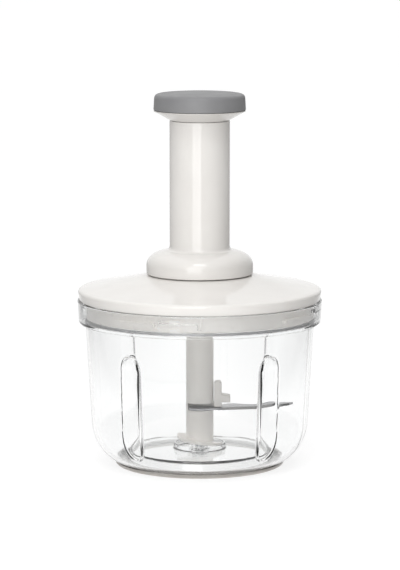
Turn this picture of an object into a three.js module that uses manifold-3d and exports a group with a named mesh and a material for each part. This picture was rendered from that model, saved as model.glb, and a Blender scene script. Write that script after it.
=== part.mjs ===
// Push-down food chopper: clear bowl, bayonet lid, sprung push handle and a blade turned by a twisted strip.
// Millimetres, +Z up, front towards -Y. The origin is the centre of the foot, on the table.
import * as THREE from 'three';
import { mergeVertices } from 'three/addons/utils/BufferGeometryUtils.js';
import Module from 'manifold-3d';

const wasm = await Module();
wasm.setup();

// Clearances
const seatGap = 0.3; // pieces that rest on each other or fit into each other
const turnGap = 0.4; // round pieces that turn or slide in a bore
const slotGap = 0.5; // drive strip in the slot of its nut, each side
const cutOverrun = 2; // how far a cutter runs past what it cuts
const joinOverlap = 0.6; // how far a moulded-on detail reaches into its wall
const weldDistance = 0.00001;

// Bowl: rim, wall, rounded corner, floor and foot
const bowlHeight = 109.3;
const rimRadius = 80.2;
const rimDraft = 0.8; // the rim is this much narrower at its lower edge
const rimWall = 2.8;
const rimDepth = 12.9; // top of the rim down to the shelf inside it
const shelfWall = 2.1;
const rimStep = 5.1; // how far the wall under the rim stands in from it
const wallDraft = 3.6; // and how much further in it is where the corner begins
const bowlWall = 2.3;
const cornerWidth = 25.5; // half-axes of the outer corner's ellipse
const cornerDrop = 30;
const cornerFloor = 1; // lowest point of that ellipse above the table
const floorHeight = 9.8; // inside floor above the table
const floorWall = 2.4;
const footStep = 8; // how far the foot stands out from the flat floor
const troughSlope = 2.6; // how far the edge of the floor slopes out on its way down to the corner
const troughWall = 2.2;

// Flutes pressed into the bowl wall
const fluteAngles = [-38, 38]; // degrees from the front, towards +X
const fluteTopDrop = 14.3; // underside of the shelf down to the top of the arch
const fluteArch = 6.7; // top of the arch down to the middle of its round
const fluteRadius = 7.7;
const fluteDepth = 5.1; // where the corner begins
const ridgeRadius = 12.1; // ridge that the flute makes inside the bowl
const ridgeDepth = 5.3; // where the corner begins
const fluteDraft = 0.085; // how far the flutes lean out from the axis, for each millimetre up
const stemRadius = 16; // lower ridge from the arch up to the shelf
const stemDepth = 1.6;

// Bayonet: ramps in the rim, lugs on the lid
const bayonetCount = 4;
const rampStartAngle = -19; // degrees from the front, towards +X
const rampAngle = 18;
const stopAngle = 1.5;
const lugStartAngle = -45;
const lugAngle = 23;
const rampDepth = 2.4;
const rampHeight = 2;
const rampDrop = 3; // top of the rim down to the ramps
const lugHeight = 2.9;
const markAngle = -14; // raised pill-shaped mark on the rim
const markLength = 15;
const markHeight = 4;
const markDrop = 6.8; // top of the rim down to the middle of the mark

// Pivot in the bowl floor
const pinRadius = 3;
const pinReach = 12.7; // how far the pin reaches into the spindle
const pinHeadroom = 6; // well above the pin
const pinChamfer = 0.9;
const postWall = 2.4;
const postHeight = 3.6; // above the floor
const underBossHeight = 3.4; // below the floor
const underBossWall = 3.2;
const pinSocketWall = 1.1;
const guardRadius = 17.1; // clear ring round the spindle's foot
const guardWall = 1.7;
const guardHeight = 3.7; // above the floor

// Non-slip ring
const padFloor = 1.4;
const padLip = 1.4;
const padEdgeRound = 3.1; // how far the lower edge is drawn in
const padLipSlack = 0.4; // lip stops this far under the corner

// Spindle
const spindleRadius = 9.1;
const spindleWall = 2.5;
const spindleLift = 0.9; // spindle's lower end above the post
const bushWall = 2.2;
const bushTopDrop = 1.3; // top of the pin down to the top of the bush
const slotFloorWall = 3.2; // under the blade slot
const slotRoofWall = 2.4; // over it, to the well that the drive strip enters
const slotLeftWall = 1.4;
const slotBackWall = 5.1;
const bladeSlotHeight = 4.9;
const vaneThickness = 2;
const vaneStartAngle = 165; // degrees from +X
const vaneEndAngle = 365;
const vaneHighRise = 3.3; // spindle's lower end up to the vane's underside at its start
const vaneLowDrop = 3; // and down to it at its end
const notchAngle = 120; // gap between the spindle's two dogs

// Blade and its clip
const bladeThickness = 1.4;
const bladeClearance = 9.3; // wall at the corner's top to the tip, past the ridges
const bladeTipBack = 10.6; // how far the tip is swept back
const bladeTipRise = 0.9;
// Places on the blade's two edges, as shares of its length and of the tip's sweep
const bladeFrontShares = [[0.32, -0.47], [0.6, -0.22], [0.76, 0.02], [0.9, 0.5], [1, 1]];
const bladeBackShares = [[0.93, 1.16], [0.84, 1.22], [0.74, 1.1], [0.6, 0.78], [0.47, 0.82]];
const bladeRootShares = [[0.33, 1.09]];
const bladeRootAngle = 57; // where the front edge leaves the hub, in degrees
const hubClearance = 0.3;
const clipTabWidth = 5;
const clipTabHeight = 16.8;
const clipTabRound = 1.9;
const clipDepth = 9;
const clipTongueLength = 7.6;
const clipTongueDepth = 3;
const clipTongueBack = 2; // how far the tongue stands behind the axis
const clipBlockLength = 5.6;
const clipBlockHeight = 5.2;
const clipBlockSlope = 1;
const clipBlockGap = 3.1; // daylight under the block

// Seal
const sealThickness = 1.5;
const sealWidth = 2.2;
const sealLip = 0.7;

// Lid
const lidRise = 16.4; // lower edge of the lid to its flat top
const lidInset = 0.5; // how far the lid's edge stands in from the rim
const lidWall = 2.2;
const lidFlatRadius = 33;
const lidEdgeDraft = 0.7;
const lidEdgeDrop = 11.5; // flat top down to the end of the upright edge
const lidShoulderInset = 2.5;
const lidShoulderDrop = 9.1;
const lidEdgeRoundDrop = 0.5;
const lidCrownInset = 25.7;
const lidCrownDrop = 5.4;
const innerRingInset = 3.5; // from the skirt in to the ring inside the lid
const plateDrop = 1; // top of the lower plate below the lid's edge
const plateWall = 2.2;
const skirtGap = 1; // between the skirt and the ramps
const skirtWall = 2;
const bearingWall = 2.2;
const bearingBossDrop = 5.4;
const housingReach = 4; // how far the clutch housing stands out from the clutch barrel
const housingWall = 2.2;
const pressRingInset = 1.5; // how far the press ring stands in from the guide flange
const pressRingWall = 2;

// Lid screws
const screwCount = 4;
const screwInset = 18.5; // from the ring inside the lid in to the screws
const screwRadius = 1.5;
const screwHeadRadius = 3.4;
const screwHeadHeight = 2.4;
const screwLength = 10.6;
const screwBossRadius = 4.2;
const screwSlotWidth = 0.9;
const screwSlotDepth = 1.1;

// Drive strip, nut and clutch
const stripWidth = 8;
const stripThickness = 3.2;
const stripFootGap = 6.5; // under the strip, in the spindle's well
const stripLead = 48; // one full twist
const twistStep = 1; // facet length along the twist
const nutTwistStep = 0.5;
const clutchWall = 2.2;
const clutchBarrelWall = 2.5;
const clutchBarrelDrop = 7.4; // underside of the plate down to the barrel's lower end
const dogDepth = 4.2; // how far the spindle reaches into the barrel
const driveBoreGap = 1.5; // beside the strip, in the bores that it passes
const dogAngle = 50;
const toothCount = 6;
const toothHeight = 1.8;
const toothLength = 6.4;
const toothDepth = 4.4;
const toothInset = 1.2; // edge of the clutch disc in to the teeth
const nutDiscHeight = 3.6;
const nutHubRadius = 8.5;
const nutHubHeight = 2.2;
const washerThickness = 0.6;

// Guide tube, bush and spring
const guideWall = 1.8;
const guideFlangeReach = 7.8;
const guideFlangeWall = 2.5;
const guideHeadroom = 15.8; // top of the guide bush up to the palm flange
const guideBushWall = 1;
const guideBushLength = 13.5;
const guideBushCap = 1.5;
const springSeatWall = 1;
const springGap = 3.2; // guide tube's bore in to the centre of the wire
const springWire = 0.8; // wire radius
const springTurns = 11;
const springEndShare = 0.1; // of a turn, left off at each end
const stepsPerTurn = 8;
const wireSides = 5;

// Handle
const sleeveRadius = 19.7;
const sleeveWall = 1.9;
const sleeveLength = 100.4; // collar's lower edge to the top of the sleeve
const collarReach = 15.4; // how far the collar stands out from the column
const collarWall = 2.2;
const collarHeight = 15.3; // to where the column begins
const collarFillet = 3.5;
const collarSide = 4.6; // upright part of the collar
const collarShoulderDrop = 2.2;
const collarPlateWall = 2.4;
const collarPlateInset = 0.6;
const collarRibReach = 4.5;
const palmInset = 0.3; // how far the palm flange stands in from the cap
const palmConeRise = 5.8;
const palmLip = 0.6;
const palmSpigotLength = 10.6;
const palmSpigotWall = 3.5;
const palmFloorRise = 2.4; // spigot's seat to the ceiling over the spring
const palmFloorWall = 2.7;
const palmStepWall = 2;
const palmBossRadius = 7;
const palmBossCap = 2.8;
const stripRise = 2.9; // seat of the palm flange to the top of the strip
const stripPinRadius = 1.5;
const stripPinInset = 0.5; // how far its ends stand in from the boss
const stripPinDrop = 5.1; // seat of the palm flange down to the pin
const capRadius = 30.1;
const capDraft = 0.4;
const capHeight = 10.4;
const capWall = 2.5;
const capTopWall = 2.8;
const capEdgeRound = 3.5;
const capCrown = 0.2;

// Facets
const largeSides = 48;
const middleSides = 32;
const smallSides = 16;
const tinySides = 10;
const curveSteps = 3;
const vaneSteps = 18;

// Radii that follow from the sizes above
const rimBore = rimRadius - rimWall;
const mouthRadius = rimRadius - rimStep; // outside of the wall just under the rim
const wallBore = mouthRadius - bowlWall;
const waistRadius = mouthRadius - wallDraft; // outside of the wall where the corner begins
const floorRadius = waistRadius - cornerWidth; // flat part of the inside floor
const troughRadius = floorRadius + troughSlope;
const footInnerRadius = troughRadius - troughWall;
const footRadius = floorRadius + footStep;
const postRadius = pinRadius + postWall;
const bushRadius = pinRadius + seatGap + bushWall;
const vaneRadius = guardRadius - guardWall - turnGap;
const spindleBore = spindleRadius - spindleWall;
const slotLeft = spindleRadius - slotLeftWall; // ends of the blade slot, from the axis
const slotBack = spindleRadius - slotBackWall;
const bladeLength = waistRadius - bladeClearance;
const clipLeft = spindleRadius + turnGap;
const skirtRadius = rimBore - rampDepth - skirtGap;
const lidRadius = rimRadius - lidInset;
const innerRingRadius = skirtRadius - innerRingInset;
const screwCircle = innerRingRadius - screwInset;
const driveBore = stripWidth / 2 + driveBoreGap;
const clutchBore = spindleRadius + turnGap;
const clutchBarrelRadius = clutchBore + clutchBarrelWall;
const housingRadius = clutchBarrelRadius + housingReach;
const clutchDiscRadius = housingRadius - turnGap;
const toothOuterRadius = clutchDiscRadius - toothInset;
const toothInnerRadius = toothOuterRadius - toothDepth;
const sleeveBore = sleeveRadius - sleeveWall;
const guideRadius = sleeveBore - 2 * seatGap - guideBushWall;
const guideBore = guideRadius - guideWall;
const guideFlangeRadius = guideRadius + guideFlangeReach;
const pressRingRadius = guideFlangeRadius - pressRingInset;
const springRadius = guideBore - springGap; // centre of the wire
const collarRadius = sleeveRadius + collarReach;
const collarRibRadius = sleeveRadius + collarRibReach;
const palmRadius = capRadius - palmInset;
const capBore = capRadius - capWall;
const palmStepRadius = capBore - seatGap;

// Heights that follow from the sizes above
const shelfHeight = bowlHeight - rimDepth;
const shelfUnderside = shelfHeight - shelfWall;
const waistHeight = cornerFloor + cornerDrop;
const floorUnderside = floorHeight - floorWall;
const footBottom = padFloor + seatGap;
const fluteTop = shelfUnderside - fluteTopDrop;
const postTop = floorHeight + postHeight;
const pinSocketFloor = floorUnderside - underBossHeight + pinSocketWall;
const rampTop = bowlHeight - rampDrop;
const rampUnderside = rampTop - rampHeight;
const lugTop = rampUnderside - turnGap;
const spindleBottom = postTop + spindleLift;
const pinTop = spindleBottom + pinReach;
const bushWellTop = pinTop + pinHeadroom;
const slotFloor = bushWellTop + slotFloorWall;
const slotRoof = slotFloor + bladeSlotHeight;
const stripWellFloor = slotRoof + slotRoofWall;
const bladeSeat = slotFloor + seatGap;
const clipSeat = bladeSeat + bladeThickness + seatGap;
const sealSeat = shelfHeight + seatGap;
const skirtBottom = sealSeat + sealThickness + seatGap;
const lidSeat = bowlHeight + seatGap;
const lidTop = lidSeat + lidRise;
const plateTop = lidSeat - plateDrop;
const plateUnderside = plateTop - plateWall;
const screwSeat = plateUnderside - seatGap;
const clutchBarrelBottom = plateUnderside - clutchBarrelDrop;
const spindleTop = clutchBarrelBottom + dogDepth;
const clutchSeat = plateTop + seatGap;
const clutchFace = clutchSeat + clutchWall;
const nutSeat = clutchFace + seatGap;
const nutTop = nutSeat + nutDiscHeight + nutHubHeight;
const washerSeat = nutTop + seatGap;
const housingTop = washerSeat + washerThickness;
const guideSeat = housingTop + seatGap;
const springSeat = guideSeat + guideFlangeWall + seatGap;
const springBottom = springSeat + springSeatWall + seatGap;
const collarBottom = lidTop + turnGap;
const sleeveTop = collarBottom + sleeveLength;
const palmSeat = sleeveTop + seatGap;
const spigotBottom = palmSeat - palmSpigotLength;
const palmCeiling = palmSeat + palmFloorRise;
const palmLipTop = palmSeat + palmConeRise + palmLip;
const springTop = palmCeiling - seatGap;
const guideTop = spigotBottom - guideHeadroom - guideBushCap - seatGap;
const stripBottom = stripWellFloor + stripFootGap;
const stripTop = palmSeat + stripRise;
const capSeat = palmLipTop + seatGap;
const capTop = capSeat + capHeight;
const capCeiling = capTop - capTopWall;

// Materials
const clearPlastic = new THREE.MeshStandardMaterial({
  color: 0xe9eef0, roughness: 0.06, metalness: 0, transparent: true, opacity: 0.3, flatShading: true,
});
const whitePlastic = finish(0xefedea, 0.22, 0);
const whiteInner = finish(0xe3e0db, 0.4, 0);
const greyCap = finish(0x8c8c8c, 0.75, 0);
const greyRing = finish(0xb9b6b2, 0.5, 0);
const sealRubber = finish(0xdfdcd6, 0.65, 0);
const acetal = finish(0xf2f1ec, 0.45, 0);
const bladeSteel = finish(0xa9a9aa, 0.25, 1);
const plainSteel = finish(0x9a9c9f, 0.35, 1);
const springSteel = finish(0x8f9296, 0.3, 1);

function finish(color, roughness, metalness) {
  return new THREE.MeshStandardMaterial({ color, roughness, metalness, flatShading: true });
}

// Turns a closed geometry into a solid whose faces point out
function toSolid(geometry) {
  const bare = geometry.clone();
  bare.deleteAttribute('normal');
  bare.deleteAttribute('uv');
  const merged = mergeVertices(bare, weldDistance);
  const index = merged.index.array;
  const triangles = [];
  for (let i = 0; i < index.length; i += 3) {
    const [a, b, c] = [index[i], index[i + 1], index[i + 2]];
    if (a !== b && b !== c && c !== a) triangles.push(a, b, c);
  }
  const points = new Float32Array(merged.attributes.position.array);
  if (enclosedVolume(points, triangles) < 0) triangles.reverse();
  const triVerts = new Uint32Array(triangles);
  return new wasm.Manifold(new wasm.Mesh({ numProp: 3, vertProperties: points, triVerts }));
}

function enclosedVolume(points, triangles) {
  const corner = (n) => new THREE.Vector3().fromArray(points, 3 * triangles[n]);
  let sum = 0;
  for (let i = 0; i < triangles.length; i += 3) {
    sum += corner(i).dot(corner(i + 1).cross(corner(i + 2)));
  }
  return sum;
}

function toGeometry(solid) {
  const mesh = solid.getMesh();
  const geometry = new THREE.BufferGeometry();
  const points = new THREE.BufferAttribute(new Float32Array(mesh.vertProperties), 3);
  geometry.setAttribute('position', points);
  geometry.setIndex(new THREE.BufferAttribute(new Uint32Array(mesh.triVerts), 1));
  return geometry;
}

function outline(points) {
  return new THREE.Shape(points.map(([x, y]) => new THREE.Vector2(x, y)));
}

// Spins a closed outline, drawn as radius and height, round the Z axis
function spin(shape, sides) {
  const points = shape.getPoints(curveSteps);
  if (!points[0].equals(points[points.length - 1])) points.push(points[0].clone());
  const geometry = new THREE.LatheGeometry(points, sides);
  geometry.rotateX(Math.PI / 2);
  return toSolid(geometry);
}

function rectangle(left, right, low, high) {
  return outline([[left, low], [right, low], [right, high], [left, high]]);
}

function ring(innerRadius, outerRadius, low, high, sides) {
  return spin(rectangle(innerRadius, outerRadius, low, high), sides);
}

function disc(radius, low, high, sides) {
  return ring(0, radius, low, high, sides);
}

function extrudeUp(shape, low, high, steps = 1, curveSegments = curveSteps) {
  const geometry = new THREE.ExtrudeGeometry(shape, {
    depth: high - low, steps, bevelEnabled: false, curveSegments,
  });
  geometry.translate(0, 0, low);
  return geometry;
}

function block(left, right, front, back, low, high) {
  return toSolid(extrudeUp(rectangle(left, right, front, back), low, high));
}

// Angles are in degrees from +X, seen from above
function sectorShape(innerRadius, outerRadius, start, end) {
  const shape = new THREE.Shape();
  const [from, to] = [THREE.MathUtils.degToRad(start), THREE.MathUtils.degToRad(end)];
  shape.absarc(0, 0, outerRadius, from, to, false);
  shape.absarc(0, 0, innerRadius, to, from, true);
  return shape;
}

function sector(innerRadius, outerRadius, start, end, low, high) {
  return toSolid(extrudeUp(sectorShape(innerRadius, outerRadius, start, end), low, high));
}

function circle(radius, sides) {
  const shape = new THREE.Shape();
  for (let i = 0; i < sides; i += 1) {
    const angle = (2 * Math.PI * i) / sides;
    const [x, y] = [radius * Math.cos(angle), radius * Math.sin(angle)];
    if (i === 0) shape.moveTo(x, y);
    else shape.lineTo(x, y);
  }
  return shape;
}

function pipe(path, radius, steps, sides) {
  return new THREE.ExtrudeGeometry(circle(radius, sides), { extrudePath: path, steps, bevelEnabled: false });
}

function joinAll(solids) {
  return solids.reduce((whole, piece) => whole.add(piece));
}

// Copies a solid to equal angles round the Z axis
function around(solid, count) {
  return joinAll(Array.from({ length: count }, (_, i) => solid.rotate([0, 0, (360 * i) / count])));
}

// Degrees from the front, towards +X, as degrees from +X
function fromFront(angle) {
  return angle - 90;
}

// Outside of the bowl wall at a height, above its corner
function wallRadiusAt(height) {
  const share = (height - waistHeight) / (shelfUnderside - waistHeight);
  return waistRadius + share * (mouthRadius - waistRadius);
}

function bowlOutside() {
  const footAngle = -Math.acos((footRadius - floorRadius) / cornerWidth);
  const shape = new THREE.Shape();
  shape.moveTo(0, floorUnderside);
  shape.lineTo(floorRadius - troughWall, floorUnderside);
  shape.lineTo(footInnerRadius, footBottom);
  shape.lineTo(footRadius, footBottom);
  shape.absellipse(floorRadius, waistHeight, cornerWidth, cornerDrop, footAngle, 0, false);
  shape.lineTo(mouthRadius, shelfUnderside);
  shape.lineTo(rimRadius - rimDraft, shelfUnderside);
  shape.lineTo(rimRadius, bowlHeight);
  shape.lineTo(0, bowlHeight);
  return spin(shape, largeSides);
}

function bowlCavity() {
  const [reach, drop] = [cornerWidth - bowlWall, cornerDrop - bowlWall];
  const shape = new THREE.Shape();
  shape.moveTo(0, floorHeight);
  shape.lineTo(floorRadius, floorHeight);
  shape.absellipse(floorRadius, waistHeight, reach, drop, -Math.acos(troughSlope / reach), 0, false);
  shape.lineTo(wallBore, shelfHeight);
  shape.lineTo(rimBore, shelfHeight);
  shape.lineTo(rimBore, bowlHeight + cutOverrun);
  shape.lineTo(0, bowlHeight + cutOverrun);
  return spin(shape, largeSides);
}

// Leaning round bar with a domed top, its axis this far out where the corner begins
function fluteBar(radius, axisOut) {
  const top = fluteTop - fluteArch;
  const axisAt = (height) => new THREE.Vector3(axisOut + fluteDraft * (height - waistHeight), 0, height);
  const bar = toSolid(pipe(new THREE.LineCurve3(axisAt(0), axisAt(top)), radius, 1, smallSides));
  const dome = toSolid(new THREE.SphereGeometry(radius, smallSides, smallSides / 2).rotateX(Math.PI / 2));
  return bar.add(dome.translate(axisAt(top).toArray()));
}

function ridgeStem() {
  const out = stemRadius - stemDepth - bowlWall;
  const [low, high] = [fluteTop - fluteArch, shelfUnderside + shelfWall / 2];
  const path = new THREE.LineCurve3(
    new THREE.Vector3(wallRadiusAt(low) + out, 0, low),
    new THREE.Vector3(wallRadiusAt(high) + out, 0, high),
  );
  return toSolid(pipe(path, stemRadius, 1, smallSides));
}

function bowlGeometry() {
  const ridge = fluteBar(ridgeRadius, waistRadius - bowlWall - ridgeDepth + ridgeRadius).add(ridgeStem());
  const flute = fluteBar(fluteRadius, waistRadius - fluteDepth + fluteRadius);
  return toGeometry(bowlOutside()
    .subtract(bowlCavity().subtract(atFlutes(ridge)))
    .subtract(atFlutes(flute))
    .add(pivotPost())
    .subtract(pinSocket())
    .add(bayonetRamps())
    .add(rimMark()));
}

// A copy at each flute's place
function atFlutes(solid) {
  return joinAll(fluteAngles.map((angle) => solid.rotate([0, 0, fromFront(angle)])));
}

// Post on the floor, boss under it and the clear ring that guards the spindle's foot
function pivotPost() {
  const floorMiddle = floorHeight - joinOverlap;
  const guardTop = floorHeight + guardHeight;
  const guard = ring(guardRadius - guardWall, guardRadius, floorMiddle, guardTop, middleSides);
  const post = disc(postRadius, floorMiddle, postTop, smallSides);
  const bossBottom = floorUnderside - underBossHeight;
  const boss = disc(pinRadius + underBossWall, bossBottom, floorUnderside + joinOverlap, smallSides);
  return guard.add(post).add(boss);
}

function pinSocket() {
  return disc(pinRadius + seatGap, pinSocketFloor, postTop + cutOverrun, smallSides);
}

function bayonetRamps() {
  const start = fromFront(rampStartAngle);
  const end = start + rampAngle;
  const [inner, outer] = [rimBore - rampDepth, rimBore + joinOverlap];
  const ramp = sector(inner, outer, start, end, rampUnderside, rampTop);
  const stop = sector(inner, outer, end, end + stopAngle, lugTop - lugHeight, rampTop);
  return around(ramp.add(stop), bayonetCount);
}

// Raised pill-shaped mark on the outside of the rim
function rimMark() {
  const [halfLength, halfHeight] = [(markLength - markHeight) / 2, markHeight / 2];
  const shape = new THREE.Shape();
  shape.absarc(halfLength, 0, halfHeight, -Math.PI / 2, Math.PI / 2, false);
  shape.absarc(-halfLength, 0, halfHeight, Math.PI / 2, (3 * Math.PI) / 2, false);
  const geometry = new THREE.ExtrudeGeometry(shape, {
    depth: rimWall / 2, bevelEnabled: false, curveSegments: curveSteps,
  });
  geometry.rotateX(Math.PI / 2);
  geometry.translate(0, rimWall / 2 - rimRadius, bowlHeight - markDrop);
  geometry.rotateZ(THREE.MathUtils.degToRad(markAngle));
  return toSolid(geometry);
}

function pivotPinGeometry() {
  const low = pinSocketFloor + seatGap;
  return toGeometry(spin(outline([
    [0, low],
    [pinRadius, low],
    [pinRadius, pinTop - pinChamfer],
    [pinRadius - pinChamfer, pinTop],
    [0, pinTop],
  ]), smallSides));
}

function cornerHeightAt(radius) {
  const share = (radius - floorRadius) / cornerWidth;
  return waistHeight - cornerDrop * Math.sqrt(1 - share * share);
}

function nonSlipRingGeometry() {
  const channelOuter = footRadius + seatGap;
  const outer = channelOuter + padLip;
  const shape = new THREE.Shape();
  shape.moveTo(footInnerRadius, 0);
  shape.lineTo(outer - padEdgeRound, 0);
  shape.quadraticCurveTo(outer, 0, outer, cornerHeightAt(outer) - padLipSlack);
  shape.lineTo(channelOuter, cornerHeightAt(channelOuter) - padLipSlack);
  shape.lineTo(channelOuter, padFloor);
  shape.lineTo(footInnerRadius, padFloor);
  return toGeometry(spin(shape, largeSides));
}

// Sloping vane round the front of the spindle's foot
function footVane() {
  const shape = sectorShape(spindleRadius - joinOverlap, vaneRadius, vaneStartAngle, vaneEndAngle);
  const geometry = extrudeUp(shape, 0, vaneThickness, 1, vaneSteps);
  const position = geometry.attributes.position;
  const middle = (vaneStartAngle + vaneEndAngle) / 2;
  const [high, low] = [spindleBottom + vaneHighRise, spindleBottom - vaneLowDrop];
  for (let i = 0; i < position.count; i += 1) {
    const angle = THREE.MathUtils.radToDeg(Math.atan2(position.getY(i), position.getX(i)));
    const unwound = angle + 360 * Math.round((middle - angle) / 360);
    const share = (unwound - vaneStartAngle) / (vaneEndAngle - vaneStartAngle);
    position.setZ(i, position.getZ(i) + THREE.MathUtils.lerp(high, low, share));
  }
  return toSolid(geometry);
}

function spindleGeometry() {
  const body = spin(outline([
    [bushRadius + seatGap, spindleBottom],
    [spindleRadius, spindleBottom],
    [spindleRadius, spindleTop],
    [spindleBore, spindleTop],
    [spindleBore, stripWellFloor],
    [0, stripWellFloor],
    [0, bushWellTop],
    [bushRadius + seatGap, bushWellTop],
  ]), middleSides);
  const outside = spindleRadius + cutOverrun;
  const bladeSlot = block(-slotLeft, outside, -outside, slotBack, slotFloor, slotRoof);
  const notchFloor = clutchBarrelBottom - seatGap;
  const notch = sector(0, outside, -notchAngle / 2, notchAngle / 2, notchFloor, spindleTop + cutOverrun);
  return toGeometry(body.add(footVane()).subtract(bladeSlot).subtract(around(notch, 2)));
}

function spindleBushGeometry() {
  const low = spindleBottom + seatGap;
  return toGeometry(ring(pinRadius + seatGap, bushRadius, low, pinTop - bushTopDrop + seatGap, smallSides));
}

// Blade seen from above: hub plate in the spindle's slot, then a curved blade swept back to its tip
function bladeShape() {
  const hubRadius = spindleRadius - hubClearance;
  const hubLeft = slotLeft - seatGap - hubClearance;
  const hubBack = slotBack - seatGap - hubClearance;
  const frontAngle = -THREE.MathUtils.degToRad(bladeRootAngle);
  const leftAngle = Math.acos(-hubLeft / hubRadius);
  const rootX = spindleRadius + turnGap;
  const shape = new THREE.Shape();
  shape.moveTo(-hubLeft, hubBack);
  shape.lineTo(-hubLeft, 0);
  shape.absarc(0, 0, hubRadius, 2 * Math.PI - leftAngle, 2 * Math.PI + frontAngle, false);
  shape.splineThru(bladeEdge(bladeFrontShares));
  shape.splineThru(bladeEdge(bladeBackShares));
  shape.splineThru([...bladeEdge(bladeRootShares), new THREE.Vector2(rootX, hubBack)]);
  return shape;
}

function bladeEdge(edgeShares) {
  return edgeShares.map(([along, across]) => new THREE.Vector2(along * bladeLength, across * bladeTipBack));
}

function bladeGeometry() {
  const geometry = extrudeUp(bladeShape(), bladeSeat, bladeSeat + bladeThickness);
  const position = geometry.attributes.position;
  for (let i = 0; i < position.count; i += 1) {
    const share = Math.max(0, 2 * position.getX(i) / bladeLength - 1);
    position.setZ(i, position.getZ(i) + bladeTipRise * share * share);
  }
  return toGeometry(toSolid(geometry));
}

// Extrudes an outline drawn as X and height, centred on the XZ plane
function extrudeAcross(shape, depth) {
  const geometry = extrudeUp(shape, -depth / 2, depth / 2);
  geometry.rotateX(Math.PI / 2);
  return toSolid(geometry);
}

function bladeClipGeometry() {
  const right = clipLeft + clipTabWidth;
  const tabTop = clipSeat + clipTabHeight;
  const tab = new THREE.Shape();
  tab.moveTo(clipLeft, clipSeat);
  tab.lineTo(right, clipSeat);
  tab.lineTo(right, tabTop - clipTabRound);
  tab.quadraticCurveTo(right, tabTop, (clipLeft + right) / 2, tabTop);
  tab.quadraticCurveTo(clipLeft, tabTop, clipLeft, tabTop - clipTabRound);
  const blockLow = clipSeat + clipBlockGap;
  const side = outline([
    [right - joinOverlap, blockLow],
    [right + clipBlockLength, blockLow],
    [right + clipBlockLength, blockLow + clipBlockHeight - clipBlockSlope],
    [right - joinOverlap, blockLow + clipBlockHeight],
  ]);
  const tongueLeft = clipLeft - clipTongueLength;
  const tongueRight = clipLeft + joinOverlap;
  const tongueShape = rectangle(tongueLeft, tongueRight, clipSeat, slotRoof - seatGap);
  const tongue = extrudeAcross(tongueShape, clipTongueDepth).translate([0, clipTongueBack, 0]);
  return toGeometry(extrudeAcross(tab, clipDepth).add(extrudeAcross(side, clipDepth)).add(tongue));
}

function sealGeometry() {
  const outer = skirtRadius + sealLip;
  return toGeometry(spin(outline([
    [outer - sealWidth, sealSeat],
    [outer, sealSeat],
    [outer, sealSeat + sealThickness / 2],
    [outer - sealLip / 2, sealSeat + sealThickness],
    [outer - sealWidth, sealSeat + sealThickness],
  ]), largeSides));
}

// Outside of the lid, or the hollow under it when drawn smaller by the wall
function lidDome(wall, low) {
  const radius = lidRadius - wall;
  const top = lidTop - wall;
  const shoulder = [radius - lidShoulderInset, top - lidShoulderDrop];
  const shape = new THREE.Shape();
  shape.moveTo(0, low);
  shape.lineTo(radius - lidEdgeDraft, low);
  shape.lineTo(radius, top - lidEdgeDrop);
  shape.quadraticCurveTo(radius, shoulder[1] - lidEdgeRoundDrop, shoulder[0], shoulder[1]);
  shape.quadraticCurveTo(radius - lidCrownInset, top - lidCrownDrop, lidFlatRadius, top);
  shape.lineTo(0, top);
  return spin(shape, largeSides);
}

// A copy at each screw's place
function atScrews(solid) {
  return around(solid.translate([screwCircle, 0, 0]).rotate([0, 0, 180 / screwCount]), screwCount);
}

function lidShellGeometry() {
  const ribFoot = plateTop + seatGap;
  const pressFoot = guideSeat + guideFlangeWall + seatGap;
  const ribs = ring(innerRingRadius - lidWall, innerRingRadius, ribFoot, lidTop, largeSides)
    .add(ring(pressRingRadius - pressRingWall, pressRingRadius, pressFoot, lidTop, middleSides))
    .add(atScrews(disc(screwBossRadius, ribFoot, lidTop, tinySides)));
  const boreTop = screwSeat + screwLength + seatGap;
  const bores = atScrews(disc(screwRadius + seatGap, ribFoot - cutOverrun, boreTop, tinySides));
  const centreHole = disc(guideRadius + turnGap, lidSeat, lidTop + cutOverrun, middleSides);
  return toGeometry(lidDome(0, lidSeat)
    .subtract(lidDome(lidWall, lidSeat - cutOverrun))
    .add(ribs.intersect(lidDome(lidWall / 2, ribFoot)))
    .subtract(centreHole)
    .subtract(bores));
}

function lidUndersideGeometry() {
  const bearingBore = clutchBarrelRadius + turnGap;
  const bossOuter = bearingBore + bearingWall;
  const bossBottom = plateUnderside - bearingBossDrop;
  const body = spin(outline([
    [bearingBore, bossBottom],
    [bossOuter, bossBottom],
    [bossOuter, plateUnderside],
    [skirtRadius - skirtWall, plateUnderside],
    [skirtRadius - skirtWall, skirtBottom],
    [skirtRadius, skirtBottom],
    [skirtRadius, plateTop],
    [housingRadius + housingWall, plateTop],
    [housingRadius + housingWall, housingTop],
    [housingRadius, housingTop],
    [housingRadius, plateTop],
    [bearingBore, plateTop],
  ]), largeSides);
  const start = fromFront(lugStartAngle);
  const [lugInner, lugOuter] = [skirtRadius - joinOverlap, rimBore - turnGap];
  const lug = sector(lugInner, lugOuter, start, start + lugAngle, lugTop - lugHeight, lugTop);
  const [holeLow, holeHigh] = [plateUnderside - cutOverrun, plateTop + cutOverrun];
  const holes = atScrews(disc(screwRadius + seatGap, holeLow, holeHigh, tinySides));
  return toGeometry(body.add(around(lug, bayonetCount)).subtract(holes));
}

function lidScrewGeometry() {
  const headLow = screwSeat - screwHeadHeight;
  const head = disc(screwHeadRadius, headLow, screwSeat, tinySides);
  const shank = disc(screwRadius, screwSeat - joinOverlap, screwSeat + screwLength, tinySides);
  const [x, y] = [screwHeadRadius + cutOverrun, screwSlotWidth / 2];
  const slot = block(-x, x, -y, y, headLow - cutOverrun, headLow + screwSlotDepth);
  return toGeometry(head.add(shank).subtract(slot));
}

// Angle of the drive strip's width at a height: flat above the nut, twisted below
function stripAngleAt(height) {
  return (2 * Math.PI * Math.max(0, housingTop - height)) / stripLead;
}

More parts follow.
